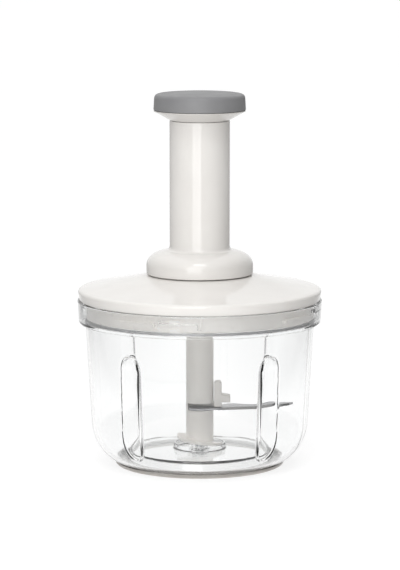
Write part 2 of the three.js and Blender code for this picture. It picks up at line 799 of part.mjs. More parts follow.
// Strip between two heights, grown by a clearance, as facets that follow the twist
function twistedStrip(low, high, clearance, step) {
  const [x, y] = [stripWidth / 2 + clearance, stripThickness / 2 + clearance];
  const steps = Math.ceil((high - low) / step);
  const geometry = extrudeUp(rectangle(-x, x, -y, y), low, high, steps);
  const position = geometry.attributes.position;
  const [corner, axis] = [new THREE.Vector2(), new THREE.Vector2()];
  for (let i = 0; i < position.count; i += 1) {
    corner.set(position.getX(i), position.getY(i)).rotateAround(axis, stripAngleAt(position.getZ(i)));
    position.setXY(i, corner.x, corner.y);
  }
  return toSolid(geometry);
}

function driveStripGeometry() {
  const [x, y] = [stripWidth / 2, stripThickness / 2];
  const flat = block(-x, x, -y, y, housingTop, stripTop);
  return toGeometry(twistedStrip(stripBottom, housingTop, 0, twistStep).add(flat).subtract(pinHole()));
}

// Round bar along Y at the height of the pin that holds the strip
function crossPin(radius, length) {
  const bar = new THREE.CylinderGeometry(radius, radius, length, tinySides);
  bar.translate(0, 0, palmSeat - stripPinDrop);
  return toSolid(bar);
}

function pinHole() {
  return crossPin(stripPinRadius + seatGap, 2 * palmBossRadius + cutOverrun);
}

function stripPinGeometry() {
  return toGeometry(crossPin(stripPinRadius, 2 * (palmBossRadius - stripPinInset)));
}

// Wedge-shaped ratchet teeth, grown by a clearance
function ratchetTeeth(clearance, low) {
  const high = clutchFace + toothHeight + clearance;
  const shape = outline([
    [-toothLength / 2 - clearance, low],
    [toothLength / 2 + clearance, low],
    [toothLength / 2 + clearance, high],
  ]);
  const depth = toothOuterRadius - toothInnerRadius + 2 * clearance;
  const middle = (toothOuterRadius + toothInnerRadius) / 2;
  return around(extrudeAcross(shape, depth).translate([0, -middle, 0]), toothCount);
}

function clutchRingGeometry() {
  const socketTop = spindleTop + seatGap;
  const body = spin(outline([
    [clutchBore, clutchBarrelBottom],
    [clutchBarrelRadius, clutchBarrelBottom],
    [clutchBarrelRadius, clutchSeat],
    [clutchDiscRadius, clutchSeat],
    [clutchDiscRadius, clutchFace],
    [driveBore, clutchFace],
    [driveBore, socketTop],
    [clutchBore, socketTop],
  ]), middleSides);
  const [dogInner, dogOuter] = [spindleBore + seatGap, clutchBore + joinOverlap];
  const dogTop = socketTop + joinOverlap;
  const dog = sector(dogInner, dogOuter, -dogAngle / 2, dogAngle / 2, clutchBarrelBottom, dogTop);
  return toGeometry(body.add(around(dog, 2)).add(ratchetTeeth(0, clutchFace - joinOverlap)));
}

function driveNutGeometry() {
  const discTop = nutSeat + nutDiscHeight;
  const body = spin(outline([
    [0, nutSeat],
    [clutchDiscRadius, nutSeat],
    [clutchDiscRadius, discTop],
    [nutHubRadius, discTop],
    [nutHubRadius, nutTop],
    [0, nutTop],
  ]), middleSides);
  const slot = twistedStrip(nutSeat - seatGap, nutTop + seatGap, slotGap, nutTwistStep);
  return toGeometry(body.subtract(slot).subtract(ratchetTeeth(seatGap, clutchFace)));
}

function thrustWasherGeometry() {
  return toGeometry(ring(driveBore, nutHubRadius, washerSeat, washerSeat + washerThickness, smallSides));
}

function guideTubeGeometry() {
  const flangeTop = guideSeat + guideFlangeWall;
  return toGeometry(spin(outline([
    [driveBore, guideSeat],
    [guideFlangeRadius, guideSeat],
    [guideFlangeRadius, flangeTop],
    [guideRadius, flangeTop],
    [guideRadius, guideTop],
    [guideBore, guideTop],
    [guideBore, flangeTop],
    [driveBore, flangeTop],
  ]), middleSides));
}

function guideBushGeometry() {
  const inner = guideRadius + seatGap;
  const outer = sleeveBore - seatGap;
  const capLow = guideTop + seatGap;
  return toGeometry(spin(outline([
    [inner, capLow - guideBushLength],
    [outer, capLow - guideBushLength],
    [outer, capLow + guideBushCap],
    [guideBore, capLow + guideBushCap],
    [guideBore, capLow],
    [inner, capLow],
  ]), middleSides));
}

function springSeatGeometry() {
  const outer = guideBore - turnGap;
  return toGeometry(ring(driveBore, outer, springSeat, springSeat + springSeatWall, smallSides));
}

// Centre line of the return spring
class SpringLine extends THREE.Curve {
  getPoint(share, target = new THREE.Vector3()) {
    const angle = 2 * Math.PI * (springTurns - 2 * springEndShare) * share;
    const [low, high] = [springBottom + springWire, springTop - springWire];
    const height = THREE.MathUtils.lerp(low, high, share);
    return target.set(springRadius * Math.cos(angle), springRadius * Math.sin(angle), height);
  }
}

// Least gap between neighbouring turns, measured on points of the centre line
function leastTurnGap(path, count) {
  const points = path.getPoints(count);
  let least = Infinity;
  for (let i = 0; i < count; i += 1) {
    for (let j = i + stepsPerTurn / 2; j <= count; j += 1) {
      least = Math.min(least, points[i].distanceTo(points[j]));
    }
  }
  return least - 2 * springWire;
}

function returnSpringGeometry() {
  const path = new SpringLine();
  const steps = springTurns * stepsPerTurn;
  console.log(`Return spring: least gap between turns ${leastTurnGap(path, steps).toFixed(2)} mm`);
  return toGeometry(toSolid(pipe(path, springWire, steps, wireSides)));
}

function handleSleeveGeometry() {
  const columnFoot = collarBottom + collarHeight;
  const shoulderRadius = sleeveRadius + collarFillet;
  const innerRadius = collarRadius - collarWall;
  const ceiling = columnFoot - collarWall;
  const sideTop = collarBottom + collarSide;
  const shoulderHeight = columnFoot - collarShoulderDrop;
  const ribBottom = collarBottom + collarPlateInset + collarPlateWall + seatGap;
  const shape = new THREE.Shape();
  shape.moveTo(sleeveBore, sleeveTop);
  shape.lineTo(sleeveBore, ceiling);
  shape.lineTo(collarRibRadius - collarWall, ceiling);
  shape.lineTo(collarRibRadius - collarWall, ribBottom);
  shape.lineTo(collarRibRadius, ribBottom);
  shape.lineTo(collarRibRadius, ceiling);
  shape.quadraticCurveTo(innerRadius, shoulderHeight - collarWall, innerRadius, sideTop);
  shape.lineTo(innerRadius, collarBottom);
  shape.lineTo(collarRadius, collarBottom);
  shape.lineTo(collarRadius, sideTop);
  shape.quadraticCurveTo(collarRadius, shoulderHeight, shoulderRadius, columnFoot);
  shape.quadraticCurveTo(sleeveRadius, columnFoot, sleeveRadius, columnFoot + collarFillet);
  shape.lineTo(sleeveRadius, sleeveTop);
  return toGeometry(spin(shape, middleSides));
}

function collarPlateGeometry() {
  const [inner, outer] = [guideRadius + seatGap, collarRadius - collarWall - seatGap];
  const low = collarBottom + collarPlateInset;
  return toGeometry(ring(inner, outer, low, low + collarPlateWall, middleSides));
}

function palmFlangeGeometry() {
  const spigotRadius = sleeveBore - seatGap;
  const floorTop = palmCeiling + palmFloorWall;
  const stepTop = capCeiling - turnGap;
  const bossTop = floorTop + palmBossCap;
  const body = spin(outline([
    [0, spigotBottom],
    [palmBossRadius, spigotBottom],
    [palmBossRadius, palmCeiling],
    [spigotRadius - palmSpigotWall, palmCeiling],
    [spigotRadius - palmSpigotWall, spigotBottom],
    [spigotRadius, spigotBottom],
    [spigotRadius, palmSeat],
    [sleeveRadius, palmSeat],
    [palmRadius, palmSeat + palmConeRise],
    [palmRadius, palmLipTop],
    [palmStepRadius, palmLipTop],
    [palmStepRadius, stepTop],
    [palmStepRadius - palmStepWall, stepTop],
    [palmStepRadius - palmStepWall, floorTop],
    [palmBossRadius, floorTop],
    [palmBossRadius, bossTop],
    [0, bossTop],
  ]), middleSides);
  const [x, y] = [stripWidth / 2 + seatGap, stripThickness / 2 + seatGap];
  const slot = block(-x, x, -y, y, spigotBottom - cutOverrun, stripTop + seatGap);
  return toGeometry(body.subtract(slot).subtract(pinHole()));
}

function palmCapGeometry() {
  const upperRadius = capRadius - capDraft;
  const shape = new THREE.Shape();
  shape.moveTo(0, capCeiling);
  shape.lineTo(capBore, capCeiling);
  shape.lineTo(capBore, capSeat);
  shape.lineTo(capRadius, capSeat);
  shape.lineTo(upperRadius, capTop - capEdgeRound);
  shape.quadraticCurveTo(upperRadius, capTop, upperRadius - capEdgeRound, capTop);
  shape.lineTo(0, capTop + capCrown);
  return toGeometry(spin(shape, middleSides));
}

function piece(name, geometry, material) {
  const mesh = new THREE.Mesh(geometry, material);
  mesh.name = name;
  return mesh;
}

function assembly(...members) {
  const group = new THREE.Group();
  group.add(...members);
  return group;
}

function lidScrews() {
  const geometry = lidScrewGeometry();
  return Array.from({ length: screwCount }, (_, i) => {
    const screw = piece(`lid_screw_${i + 1}`, geometry, plainSteel);
    const angle = (2 * Math.PI * (i + 1 / 2)) / screwCount;
    screw.position.set(screwCircle * Math.cos(angle), screwCircle * Math.sin(angle), 0);
    return screw;
  });
}

const bowlSet = assembly(
  piece('bowl', bowlGeometry(), clearPlastic),
  piece('pivot_pin', pivotPinGeometry(), plainSteel),
  piece('non_slip_ring', nonSlipRingGeometry(), greyRing),
);

const bladeSet = assembly(
  piece('spindle', spindleGeometry(), whiteInner),
  piece('spindle_bush', spindleBushGeometry(), acetal),
  piece('blade', bladeGeometry(), bladeSteel),
  piece('blade_clip', bladeClipGeometry(), whiteInner),
);

const lidSet = assembly(
  piece('lid_seal', sealGeometry(), sealRubber),
  piece('lid_shell', lidShellGeometry(), whitePlastic),
  piece('lid_underside', lidUndersideGeometry(), whiteInner),
  ...lidScrews(),
  piece('clutch_ring', clutchRingGeometry(), acetal),
  piece('drive_nut', driveNutGeometry(), acetal),
  piece('thrust_washer', thrustWasherGeometry(), plainSteel),
  piece('guide_tube', guideTubeGeometry(), whiteInner),
  piece('guide_bush', guideBushGeometry(), acetal),
  piece('spring_seat', springSeatGeometry(), plainSteel),
);

const handleSet = assembly(
  piece('return_spring', returnSpringGeometry(), springSteel),
  piece('drive_strip', driveStripGeometry(), plainSteel),
  piece('strip_pin', stripPinGeometry(), plainSteel),
  piece('handle_sleeve', handleSleeveGeometry(), whitePlastic),
  piece('collar_plate', collarPlateGeometry(), whiteInner),
  piece('palm_flange', palmFlangeGeometry(), whitePlastic),
  piece('palm_cap', palmCapGeometry(), greyCap),
);

const chopper = assembly(bowlSet, bladeSet, lidSet, handleSet);

export default chopper;
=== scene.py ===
import math

import bmesh
import bpy
from mathutils import Matrix, Vector


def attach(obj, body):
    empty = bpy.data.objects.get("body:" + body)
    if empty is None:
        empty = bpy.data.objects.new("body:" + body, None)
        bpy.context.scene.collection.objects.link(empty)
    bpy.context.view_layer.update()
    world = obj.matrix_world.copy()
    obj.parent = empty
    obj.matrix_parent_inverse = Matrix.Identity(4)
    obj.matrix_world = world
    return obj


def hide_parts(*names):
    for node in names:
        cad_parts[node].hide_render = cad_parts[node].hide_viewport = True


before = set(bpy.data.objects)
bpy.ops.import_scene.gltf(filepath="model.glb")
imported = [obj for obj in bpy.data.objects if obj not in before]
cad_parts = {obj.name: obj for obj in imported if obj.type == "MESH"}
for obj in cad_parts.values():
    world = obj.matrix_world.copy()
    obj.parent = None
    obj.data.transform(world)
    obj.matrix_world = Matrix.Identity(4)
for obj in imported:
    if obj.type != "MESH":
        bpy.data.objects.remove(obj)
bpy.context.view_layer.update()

# Sizes are in millimetres, the same as the CAD model's
MM = 0.001
WELD = 0.01

# Camera: how the photograph looks at the chopper
PICTURE_HEIGHT = 570
CAMERA_DISTANCE = 2050
CAMERA_TILT = 8.2
CAMERA_REACH = 100000
AIM = (0.2, 0, 118.5)
SENSOR = 36
MM_PER_PIXEL = 0.6557

# Fits
SEAT_GAP = 0.3
TURN_GAP = 0.4
OVERLAP = 1

# Roundness of arcs, of turned pieces and of edges
LARGE_SIDES = 160
MIDDLE_SIDES = 112
SMALL_SIDES = 48
TINY_SIDES = 24
ROUND_STEPS = 4
CURVE_STEPS = 20
SHARP_ANGLE, BOWL_SHARP, BLADE_SHARP, STRIP_SHARP = 38, 50, 18, 30
TINY, FINE, SLIM, EDGE, SOFT, FULL = 0.2, 0.3, 0.4, 0.5, 0.6, 0.8

# Bowl
BOWL_TOP = 109.3
RIM_RADIUS, RIM_FOOT_RADIUS, RIM_BORE = 80.2, 79.4, 77.4
SHELF_TOP, SHELF_UNDERSIDE = 96.4, 94.3
MOUTH_RADIUS, MOUTH_BORE = 75.1, 72.8
WAIST_HEIGHT, WAIST_RADIUS = 31, 71.5
CORNER_CENTRE, CORNER_WIDTH, CORNER_DROP = 46, 25.5, 30
BOWL_WALL = 2.3
FLOOR_TOP, FLOOR_UNDERSIDE = 9.8, 7.4
FOOT_RADIUS, FOOT_BOTTOM = 54, 1.7
TROUGH_SLOPE, TROUGH_ROUND, TROUGH_WALL = 2.6, 1.2, 2.2
FLOOR_EDGE_ROUND = 1
GUARD_RADIUS, GUARD_WALL, GUARD_TOP = 17.1, 1.7, 13.5
POST_RADIUS, POST_TOP, PIN_SOCKET_FLOOR = 5.4, 13.4, 5.1
UNDER_BOSS_RADIUS, UNDER_BOSS_BOTTOM = 6.2, 4.0
RIM_ROUND, RIM_FOOT_ROUND = 0.7, 1.8

# Where the bowl is drawn: start, step and count of heights down its wall, heights on its rim and the radius
# that parts the rim's outside from its inside, and angles
WALL_STOPS = ((SHELF_UNDERSIDE, 2, 4), (87.5, 0.4, 45), (69.5, 2.75, 14))
CORNER_STEPS = 48
RIM_PLAIN_LOW, RIM_PLAIN_HIGH, RIM_SPLIT = 97, 107, 78.4
OUTSIDE_LOW_STOPS, OUTSIDE_HIGH_STOPS = (97.5, 99), (106, 107.3)
INSIDE_HIGH_STOP, INSIDE_LOW_STOPS = 107.4, (99, 97.6)
COARSE_TURN, FINE_TURN, EDGE_TURN, LEAST_TURN = 3, 0.25, 0.2, 0.15

# Flutes pressed into the bowl wall
FLUTE_ANGLES = (-38.5, 38.5)
FLUTE_DOME, FLUTE_RADIUS, FLUTE_GROWTH, FLUTE_AXIS = 72.3, 5.8, 0.035, 73.2
RIDGE_DOME, RIDGE_RADIUS, RIDGE_LEAN, RIDGE_AXIS = 69.7, 10.2, 0.055, 74.4
STEM_RADIUS, STEM_DEPTH, ARCH_STRETCH = 16, 1.2, 1.45
FLUTE_EASE, RIDGE_EASE, FLUTE_REACH = 0.3, 1.2, 11

# Bayonet and the pill-shaped mark on the rim
BAYONET_COUNT = 4
RAMP_START, RAMP_ANGLE, STOP_ANGLE = -19, 18, 1.5
RAMP_UNDERSIDE, RAMP_TOP, RAMP_REACH = 104.3, 106.3, 2.4
STOP_UNDERSIDE = 101.0
RAMP_EDGE = 0.25
MARK_ANGLE, MARK_LENGTH, MARK_WIDTH, MARK_HEIGHT = -14, 15, 4, 102.5
MARK_RAISE, MARK_EDGE, MARK_STEP, MARK_STOPS, MARK_TURN = 0.7, 0.6, 0.23, 21, 7

# Ring under the foot
RING_LIP, RING_FLOOR, RING_EDGE, RING_SLACK = 1.4, 1.4, 3.1, 0.4

# Pin, spindle and bush
PIN_RADIUS, PIN_TOP, PIN_CHAMFER = 3, 27, 0.9
SPINDLE_RADIUS, SPINDLE_BORE = 9.1, 6.6
SPINDLE_BOTTOM, SPINDLE_TOP = 14.3, 103.2
STRIP_WELL_FLOOR, BUSH_WELL_TOP, BUSH_RADIUS = 43.5, 33.0, 5.5
BUSH_TOP = 26
SLOT_FLOOR, SLOT_ROOF, SLOT_LEFT, SLOT_BACK = 36.2, 41.1, -7.7, 4.0
NOTCH_ANGLE, NOTCH_FLOOR = 120, 98.7
VANE_RADIUS, VANE_THICKNESS = 15, 2
VANE_START, VANE_END, VANE_HIGH, VANE_LOW = 165, 365, 17.6, 11.3
VANE_STEPS = 60

# Blade
BLADE_SEAT, BLADE_THICKNESS = 36.5, 1.4
BLADE_LENGTH, BLADE_TIP_BACK, BLADE_TIP_RISE = 62.2, 10.6, 0.9
BLADE_FRONT_SHARES = ((0.32, -0.47), (0.6, -0.22), (0.76, 0.02), (0.9, 0.5), (1, 1))
BLADE_BACK_SHARES = ((0.93, 1.16), (0.84, 1.22), (0.74, 1.1), (0.6, 0.78), (0.47, 0.82), (0.33, 1.09))
BLADE_HUB_RADIUS, BLADE_HUB_LEFT, BLADE_HUB_BACK = 8.8, 7.1, 3.4
BLADE_ROOT_ANGLE = 57
GRIND_WIDTH = 3.0
GRIND_START, GRIND_END, GRIND_RUN_IN, GRIND_RUN_OUT = 12, 60, 4, 3
BLADE_CUTS = range(14, 61, 3)

# Clip on the blade's root
CLIP_SEAT, CLIP_LEFT, CLIP_TAB_WIDTH, CLIP_TAB_HEIGHT, CLIP_TAB_ROUND = 38.2, 9.5, 5, 16.8, 1.9
CLIP_DEPTH, CLIP_TONGUE_LENGTH, CLIP_TONGUE_DEPTH, CLIP_TONGUE_BACK = 9, 7.6, 3, 2
CLIP_BLOCK_LENGTH, CLIP_BLOCK_HEIGHT, CLIP_BLOCK_SLOPE, CLIP_BLOCK_GAP = 5.6, 5.2, 1, 3.1
CLIP_SOFTNESS = 0.5

# Lid
LID_RADIUS, LID_EDGE_RADIUS, LID_SEAT, LID_EDGE_TOP, LID_TOP = 79.7, 79.0, 109.6, 114.5, 126.0
LID_SHOULDER_INSET, LID_SHOULDER_DROP, LID_EDGE_DROP = 2.5, 9.1, 0.5
LID_CROWN_INSET, LID_CROWN_DROP, LID_FLAT_RADIUS, LID_WALL = 25.7, 5.4, 33, 2.2
LID_BOSS_TOP = 120.5
LID_RIB_RADIUS, LID_RIB_BOTTOM = 76.2, 108.9
PRESS_RING_RADIUS, PRESS_RING_WALL, PRESS_RING_BOTTOM = 22.5, 2, 121.2
PLATE_TOP, PLATE_UNDERSIDE = 108.6, 106.4
SKIRT_RADIUS, SKIRT_WALL, SKIRT_BOTTOM = 74, 2, 98.5
BEARING_BORE, BEARING_RADIUS, BEARING_BOTTOM = 12.4, 14.6, 101.0
HOUSING_RADIUS, HOUSING_WALL, HOUSING_TOP = 16, 2.2, 118.1
LUG_START, LUG_ANGLE, LUG_TOP, LUG_HEIGHT, LUG_RADIUS = -45, 23, 103.9, 2.9, 77.0
SEAL_RADIUS, SEAL_WIDTH, SEAL_LIP, SEAL_SEAT, SEAL_THICKNESS = 74.7, 2.2, 0.7, 96.7, 1.5
SCREW_COUNT, SCREW_CIRCLE, SCREW_RADIUS, SCREW_HEAD_RADIUS = 4, 52, 1.5, 3.4
SCREW_SEAT, SCREW_HEAD_HEIGHT, SCREW_LENGTH = 106.1, 2.4, 10.6
SCREW_BOSS_RADIUS = 4
PLATE_ROUND = 1.5
SCREW_SLOT_WIDTH, SCREW_SLOT_DEPTH = 0.9, 1.1

# Guide tube
GUIDE_RADIUS, GUIDE_BORE, GUIDE_FLANGE_RADIUS = 16.2, 14.4, 24
GUIDE_SEAT, GUIDE_FLANGE_WALL, GUIDE_TOP, DRIVE_BORE = 118.4, 2.5, 198.9, 5.5

# Drive strip
STRIP_WIDTH, STRIP_THICKNESS, STRIP_BOTTOM, STRIP_TOP, STRIP_LEAD = 8, 3.2, 50, 230, 48
STRIP_STEPS = 96

# Handle
SLEEVE_RADIUS, SLEEVE_BORE, SLEEVE_TOP = 19.7, 17.8, 226.8
COLLAR_RADIUS, COLLAR_BOTTOM, COLLAR_HEIGHT, COLLAR_WALL = 35.1, 126.4, 15.3, 2.2
COLLAR_SIDE, COLLAR_SHOULDER_DROP, COLLAR_FILLET, COLLAR_ROUND = 4.6, 2.2, 3.5, 0.9
COLLAR_PLATE_LOW, COLLAR_PLATE_WALL = 127.0, 2.4
COLLAR_RIB_RADIUS = 24.2
PALM_SEAT, PALM_CONE_RISE, PALM_RADIUS, PALM_LIP_TOP = 227.1, 5.8, 30, 233.5
PALM_SPIGOT_BOTTOM, PALM_SPIGOT_WALL, PALM_CEILING, PALM_FLOOR_TOP = 216.5, 3.5, 229.5, 232.2
PALM_STEP_RADIUS, PALM_STEP_WALL, PALM_STEP_TOP = 27.3, 2, 241.0
PALM_BOSS_RADIUS, PALM_BOSS_TOP = 7, 235.0
CAP_RADIUS, CAP_TOP_RADIUS, CAP_BORE, CAP_SEAT, CAP_TOP, CAP_CEILING = 30.1, 29.7, 27.6, 233.8, 244.2, 241.4
CAP_EDGE_ROUND, CAP_CROWN = 3.5, 0.2
CREASE_RADIUS, CREASE_WIDTH, CREASE_DEPTH = 24, 1.2, 0.35

# Plastics: sizes of the drift of shade and of the patches of gloss, two shades, smoothest and roughest, and
# size, detail and depth of the skin's grain
GLOSSY = (22, 9, (0.79, 0.765, 0.735), (0.82, 0.8, 0.77), 0.05, 0.09, 2.5, 3, 0.0015)
# Painted shade: the flare's white is a darker copy of the gloss white, standing in for the cap's shadow
FLARE_PAINTED_SHADE = (22, 9, (0.61, 0.59, 0.565), (0.64, 0.62, 0.595), 0.05, 0.09, 2.5, 3, 0.0015)
SATIN = (22, 9, (0.78, 0.755, 0.72), (0.81, 0.79, 0.76), 0.29, 0.39, 0.7, 3, 0.004)
SOFT_TOUCH = (22, 9, (0.225, 0.225, 0.23), (0.255, 0.255, 0.26), 0.48, 0.6, 0.35, 3, 0.02)
# Painted light: a lighter satin white for the lid's skirt, which also glows
SKIRT_PAINTED_LIGHT = (22, 9, (0.8, 0.78, 0.75), (0.84, 0.82, 0.79), 0.25, 0.35, 0.7, 3, 0.004)
ACETAL = (22, 9, (0.8, 0.79, 0.76), (0.86, 0.85, 0.82), 0.34, 0.46, 0.8, 3, 0.005)
CLEAR = (30, 12, (0.99, 0.995, 0.995), (0.998, 1, 1), 0, 0.012, 14, 1, 0.006)
ELASTOMER = (12, 5, (0.47, 0.44, 0.41), (0.56, 0.53, 0.5), 0.3, 0.42, 0.6, 3, 0.012)
SILICONE = (9, 4, (0.66, 0.66, 0.68), (0.76, 0.76, 0.77), 0.34, 0.46, 0.5, 3, 0.01)
PLASTIC_IOR, CLEAR_IOR, ELASTOMER_IOR, SILICONE_IOR = 1.5, 1.49, 1.43, 1.41
ELASTOMER_CLEAR_SHARE, SILICONE_CLEAR_SHARE = 0.25, 0.3
# Painted light: glow of the lid's skirt, which is no lamp
SKIRT_PAINTED_GLOW, SKIRT_PAINTED_GLOW_COLOUR = 0.17, (1, 0.98, 0.95, 1)
# Painted light: glow of the spindle's foot, fading upwards, which is no lamp
FOOT_PAINTED_GLOW, FOOT_PAINTED_GLOW_COLOUR = 0.16, (1, 0.97, 0.94, 1)
NOISE_SHARES = (0.3, 0.7)

# Steels: two shades, smoothest and roughest, how the scratches are drawn out, and their depth
GROUND_STEEL = ((0.3, 0.3, 0.31), (0.46, 0.46, 0.47), 0.24, 0.38, (0.12, 2, 2), 0.01)
BRIGHT_STEEL = ((0.5, 0.51, 0.52), (0.62, 0.63, 0.64), 0.2, 0.34, (2, 2, 0.3), 0.006)
DRAWN_STEEL = ((0.4, 0.41, 0.42), (0.5, 0.51, 0.52), 0.24, 0.38, (1, 1, 1), 0.008)
STEEL_DRIFT, STEEL_PATCH, STEEL_SCRATCH, STEEL_DETAIL, SCRATCH_DETAIL = 6, 3, 1.2, 3, 4

# Paper, in metres: its reach, shade and glow, and where the glow fades to the sides and widens behind
PAPER_SIDE, PAPER_FRONT, PAPER_BACK = 12, -12, 14
PAPER_SHADE, PAPER_GLOW, PAPER_FAR_GLOW = (0.25, 0.25, 0.25, 1), 0.82, 0.25
GLOW_START, GLOW_END, GLOW_WIDENING = 0.16, 0.4, -0.09

# Brightness of the room: axis of the view, its two shares, and what is added to the strength at each
ROOM_SHARES = (
    ("Y", -0.4, 0.8, 0.42, 1), ("X", -0.95, -0.4, -0.52, 0), ("X", 0.3, 0.95, 0, -0.65),
    ("Z", 0.3, 0.95, 0, 0.42),
)

# Light panels, in metres and watts: name, angle, distance, height, width, length, power, height of the aim,
# and the share of it that lights matt surfaces
KEY_PANEL = ("key softbox", 0, 0.6, 1.1, 0.4, 0.4, 2.4, 0.15, 1)
COLUMN_PANEL = ("column strip", -11, 0.6, 0.36, 0.36, 0.62, 1.9, 0.3, 0.35)


def on_round(radius, angle):
    """Point on a circle about the axis, its angle in degrees from the front"""
    turn = math.radians(angle - 90)
    return radius * math.cos(turn), radius * math.sin(turn)


def arc_points(centre, reach, rise, start, end, steps):
    """Points of an elliptic arc in a section"""
    angles = [math.radians(start + (end - start) * step / steps) for step in range(steps + 1)]
    return [(centre[0] + reach * math.cos(angle), centre[1] + rise * math.sin(angle)) for angle in angles]


def bend_points(start, control, end, steps=CURVE_STEPS):
    """Points of a quadratic curve in a section, without its first"""
    points = []
    for step in range(1, steps + 1):
        share = step / steps
        first = Vector(start).lerp(Vector(control), share)
        second = Vector(control).lerp(Vector(end), share)
        points.append(tuple(first.lerp(second, share)))
    return points


def softened(corners, steps=ROUND_STEPS):
    """Outline whose corners given as (x, y, round) are arcs, while those given as (x, y) stay"""
    outline = []
    count = len(corners)
    for i, corner in enumerate(corners):
        if len(corner) == 2:
            outline.append(tuple(corner))
            continue
        here = Vector(corner[:2])
        before = (Vector(corners[i - 1][:2]) - here).normalized()
        after = (Vector(corners[(i + 1) % count][:2]) - here).normalized()
        half = before.angle(after) / 2
        middle = here + (before + after).normalized() * corner[2] / math.sin(half)
        start = here + before * corner[2] / math.tan(half) - middle
        end = here + after * corner[2] / math.tan(half) - middle
        turn = -start.angle_signed(end)
        for step in range(steps + 1):
            spoke = Matrix.Rotation(turn * step / steps, 2) @ start
            outline.append(tuple(middle + spoke))
    return outline


def smooth_through(points, steps):
    """Points of a smooth curve through the given ones, without its first"""
    padded = [Vector(points[0]), *map(Vector, points), Vector(points[-1])]
    curve = []
    for i in range(1, len(padded) - 2):
        before, start, end, after = padded[i - 1:i + 3]
        for step in range(1, steps + 1):
            share = step / steps
            leave = (end - before) / 2
            arrive = (after - start) / 2
            square, cube = share ** 2, share ** 3
            curve.append(tuple(
                (2 * cube - 3 * square + 1) * start + (cube - 2 * square + share) * leave
                + (3 * square - 2 * cube) * end + (cube - square) * arrive))
    return curve


def tidy(bm):
    """Merges doubles and turns the faces outwards"""
    bmesh.ops.remove_doubles(bm, verts=bm.verts, dist=WELD)
    bmesh.ops.dissolve_degenerate(bm, dist=WELD / 2, edges=bm.edges)
    bmesh.ops.recalc_face_normals(bm, faces=bm.faces)
    return bm


def section_wire(bm, section):
    """Edges of a section in the XZ plane, closed unless both its ends lie on the axis"""
    verts = [bm.verts.new((x, 0, z)) for x, z in section]
    edges = [bm.edges.new(pair) for pair in zip(verts, verts[1:])]
    if verts[0].co.x > 0 or verts[-1].co.x > 0:
        edges.append(bm.edges.new((verts[-1], verts[0])))
    return verts, edges


def swept(bm, geometry, angle, steps, rise=0, merge=False):
    """Sweeps geometry about the axis, rising at each step, and gives its last copy"""
    return bmesh.ops.spin(
        bm, geom=geometry, cent=(0, 0, 0), axis=(0, 0, 1), dvec=(0, 0, rise), angle=angle, steps=steps,
        use_merge=merge,
    )["geom_last"]


def rotate(bm, verts, angle, axis="Z"):
    """Turns points about an axis by an angle in radians"""
    bmesh.ops.rotate(bm, verts=verts, cent=(0, 0, 0), matrix=Matrix.Rotation(angle, 3, axis))


def turned(section, sides):
    """Solid of a section turned about the axis"""
    bm = bmesh.new()
    verts, edges = section_wire(bm, section)
    swept(bm, verts + edges, 2 * math.pi, sides, merge=True)
    return tidy(bm)


def drawn_up(bm, geometry, rise):
    """Draws faces upwards"""
    made = bmesh.ops.extrude_face_region(bm, geom=geometry)["geom"]
    lifted = [item for item in made if isinstance(item, bmesh.types.BMVert)]
    bmesh.ops.translate(bm, verts=lifted, vec=(0, 0, rise))


def raised(outline, low, high):
    """Solid of an outline in the XY plane, between two heights"""
    bm = bmesh.new()
    face = bm.faces.new([bm.verts.new((x, y, low)) for x, y in outline])
    drawn_up(bm, [face], high - low)
    return tidy(bm)


def block(half_width, half_depth, low, high):
    """Upright rectangular bar on the axis"""
    x, y = half_width, half_depth
    return raised([(-x, -y), (x, -y), (x, y), (-x, y)], low, high)


def sliced(bm, stops):
    """Cuts a solid's faces at places along X, so that it can bend"""
    for stop in stops:
        bmesh.ops.bisect_plane(
            bm, geom=bm.verts[:] + bm.edges[:] + bm.faces[:], plane_co=(stop, 0, 0), plane_no=(1, 0, 0),
            dist=WELD)


def eased(bm, width):
    """Rounds every sharp edge"""
    sharp = [edge for edge in bm.edges if edge.calc_face_angle(0) > math.radians(SHARP_ANGLE)]
    bmesh.ops.bevel(
        bm, geom=sharp, offset=width, offset_type="OFFSET", affect="EDGES", segments=2,
        profile=0.5, clamp_overlap=True, material=-1,
    )
    return bm


def meshed(name, bm):
    """Mesh of a bmesh, which it frees"""
    mesh = bpy.data.meshes.new(name)
    bm.to_mesh(mesh)
    bm.free()
    return mesh


def placed(name, data):
    """New object in the scene"""
    thing = bpy.data.objects.new(name, data)
    bpy.context.scene.collection.objects.link(thing)
    return thing


def combined(operation, body, tool, *more):
    """Body with the tools cut out of it (DIFFERENCE) or melted to it (UNION), one after the other"""
    made = [placed("work", meshed("work", bm)) for bm in (body, tool)]
    modifier = made[0].modifiers.new("work", "BOOLEAN")
    modifier.operation = operation
    modifier.solver = "EXACT"
    modifier.object = made[1]
    result = bmesh.new()
    result.from_object(made[0], bpy.context.evaluated_depsgraph_get())
    for work in made:
        mesh = work.data
        bpy.data.objects.remove(work)
        bpy.data.meshes.remove(mesh)
    result = tidy(result)
    return combined(operation, result, *more) if more else result


def copied_round(bm, count, first=0):
    """Copies of a solid turned about the axis, the first by an angle"""
    rotate(bm, bm.verts, math.radians(first))
    one = bm.verts[:] + bm.edges[:] + bm.faces[:]
    for i in range(1, count):
        copy = bmesh.ops.duplicate(bm, geom=one)["geom"]
        verts = [item for item in copy if isinstance(item, bmesh.types.BMVert)]
        rotate(bm, verts, 2 * math.pi * i / count)
    return bm


def piece(name, bm, material, body, slot, *nodes, sharp=SHARP_ANGLE):
    """Finished object from a bmesh in millimetres, in place of its CAD nodes"""
    bm.transform(Matrix.Scale(MM, 4))
    mesh = meshed(name, bm)
    mesh.shade_smooth()
    mesh.set_sharp_from_angle(angle=math.radians(sharp))
    mesh.materials.append(material)
    thing = placed(name, mesh)
    flats = thing.modifiers.new("flats", "WEIGHTED_NORMAL")
    flats.keep_sharp = True
    flats.weight = 100
    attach(thing, body)
    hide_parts(*nodes)
    return thing


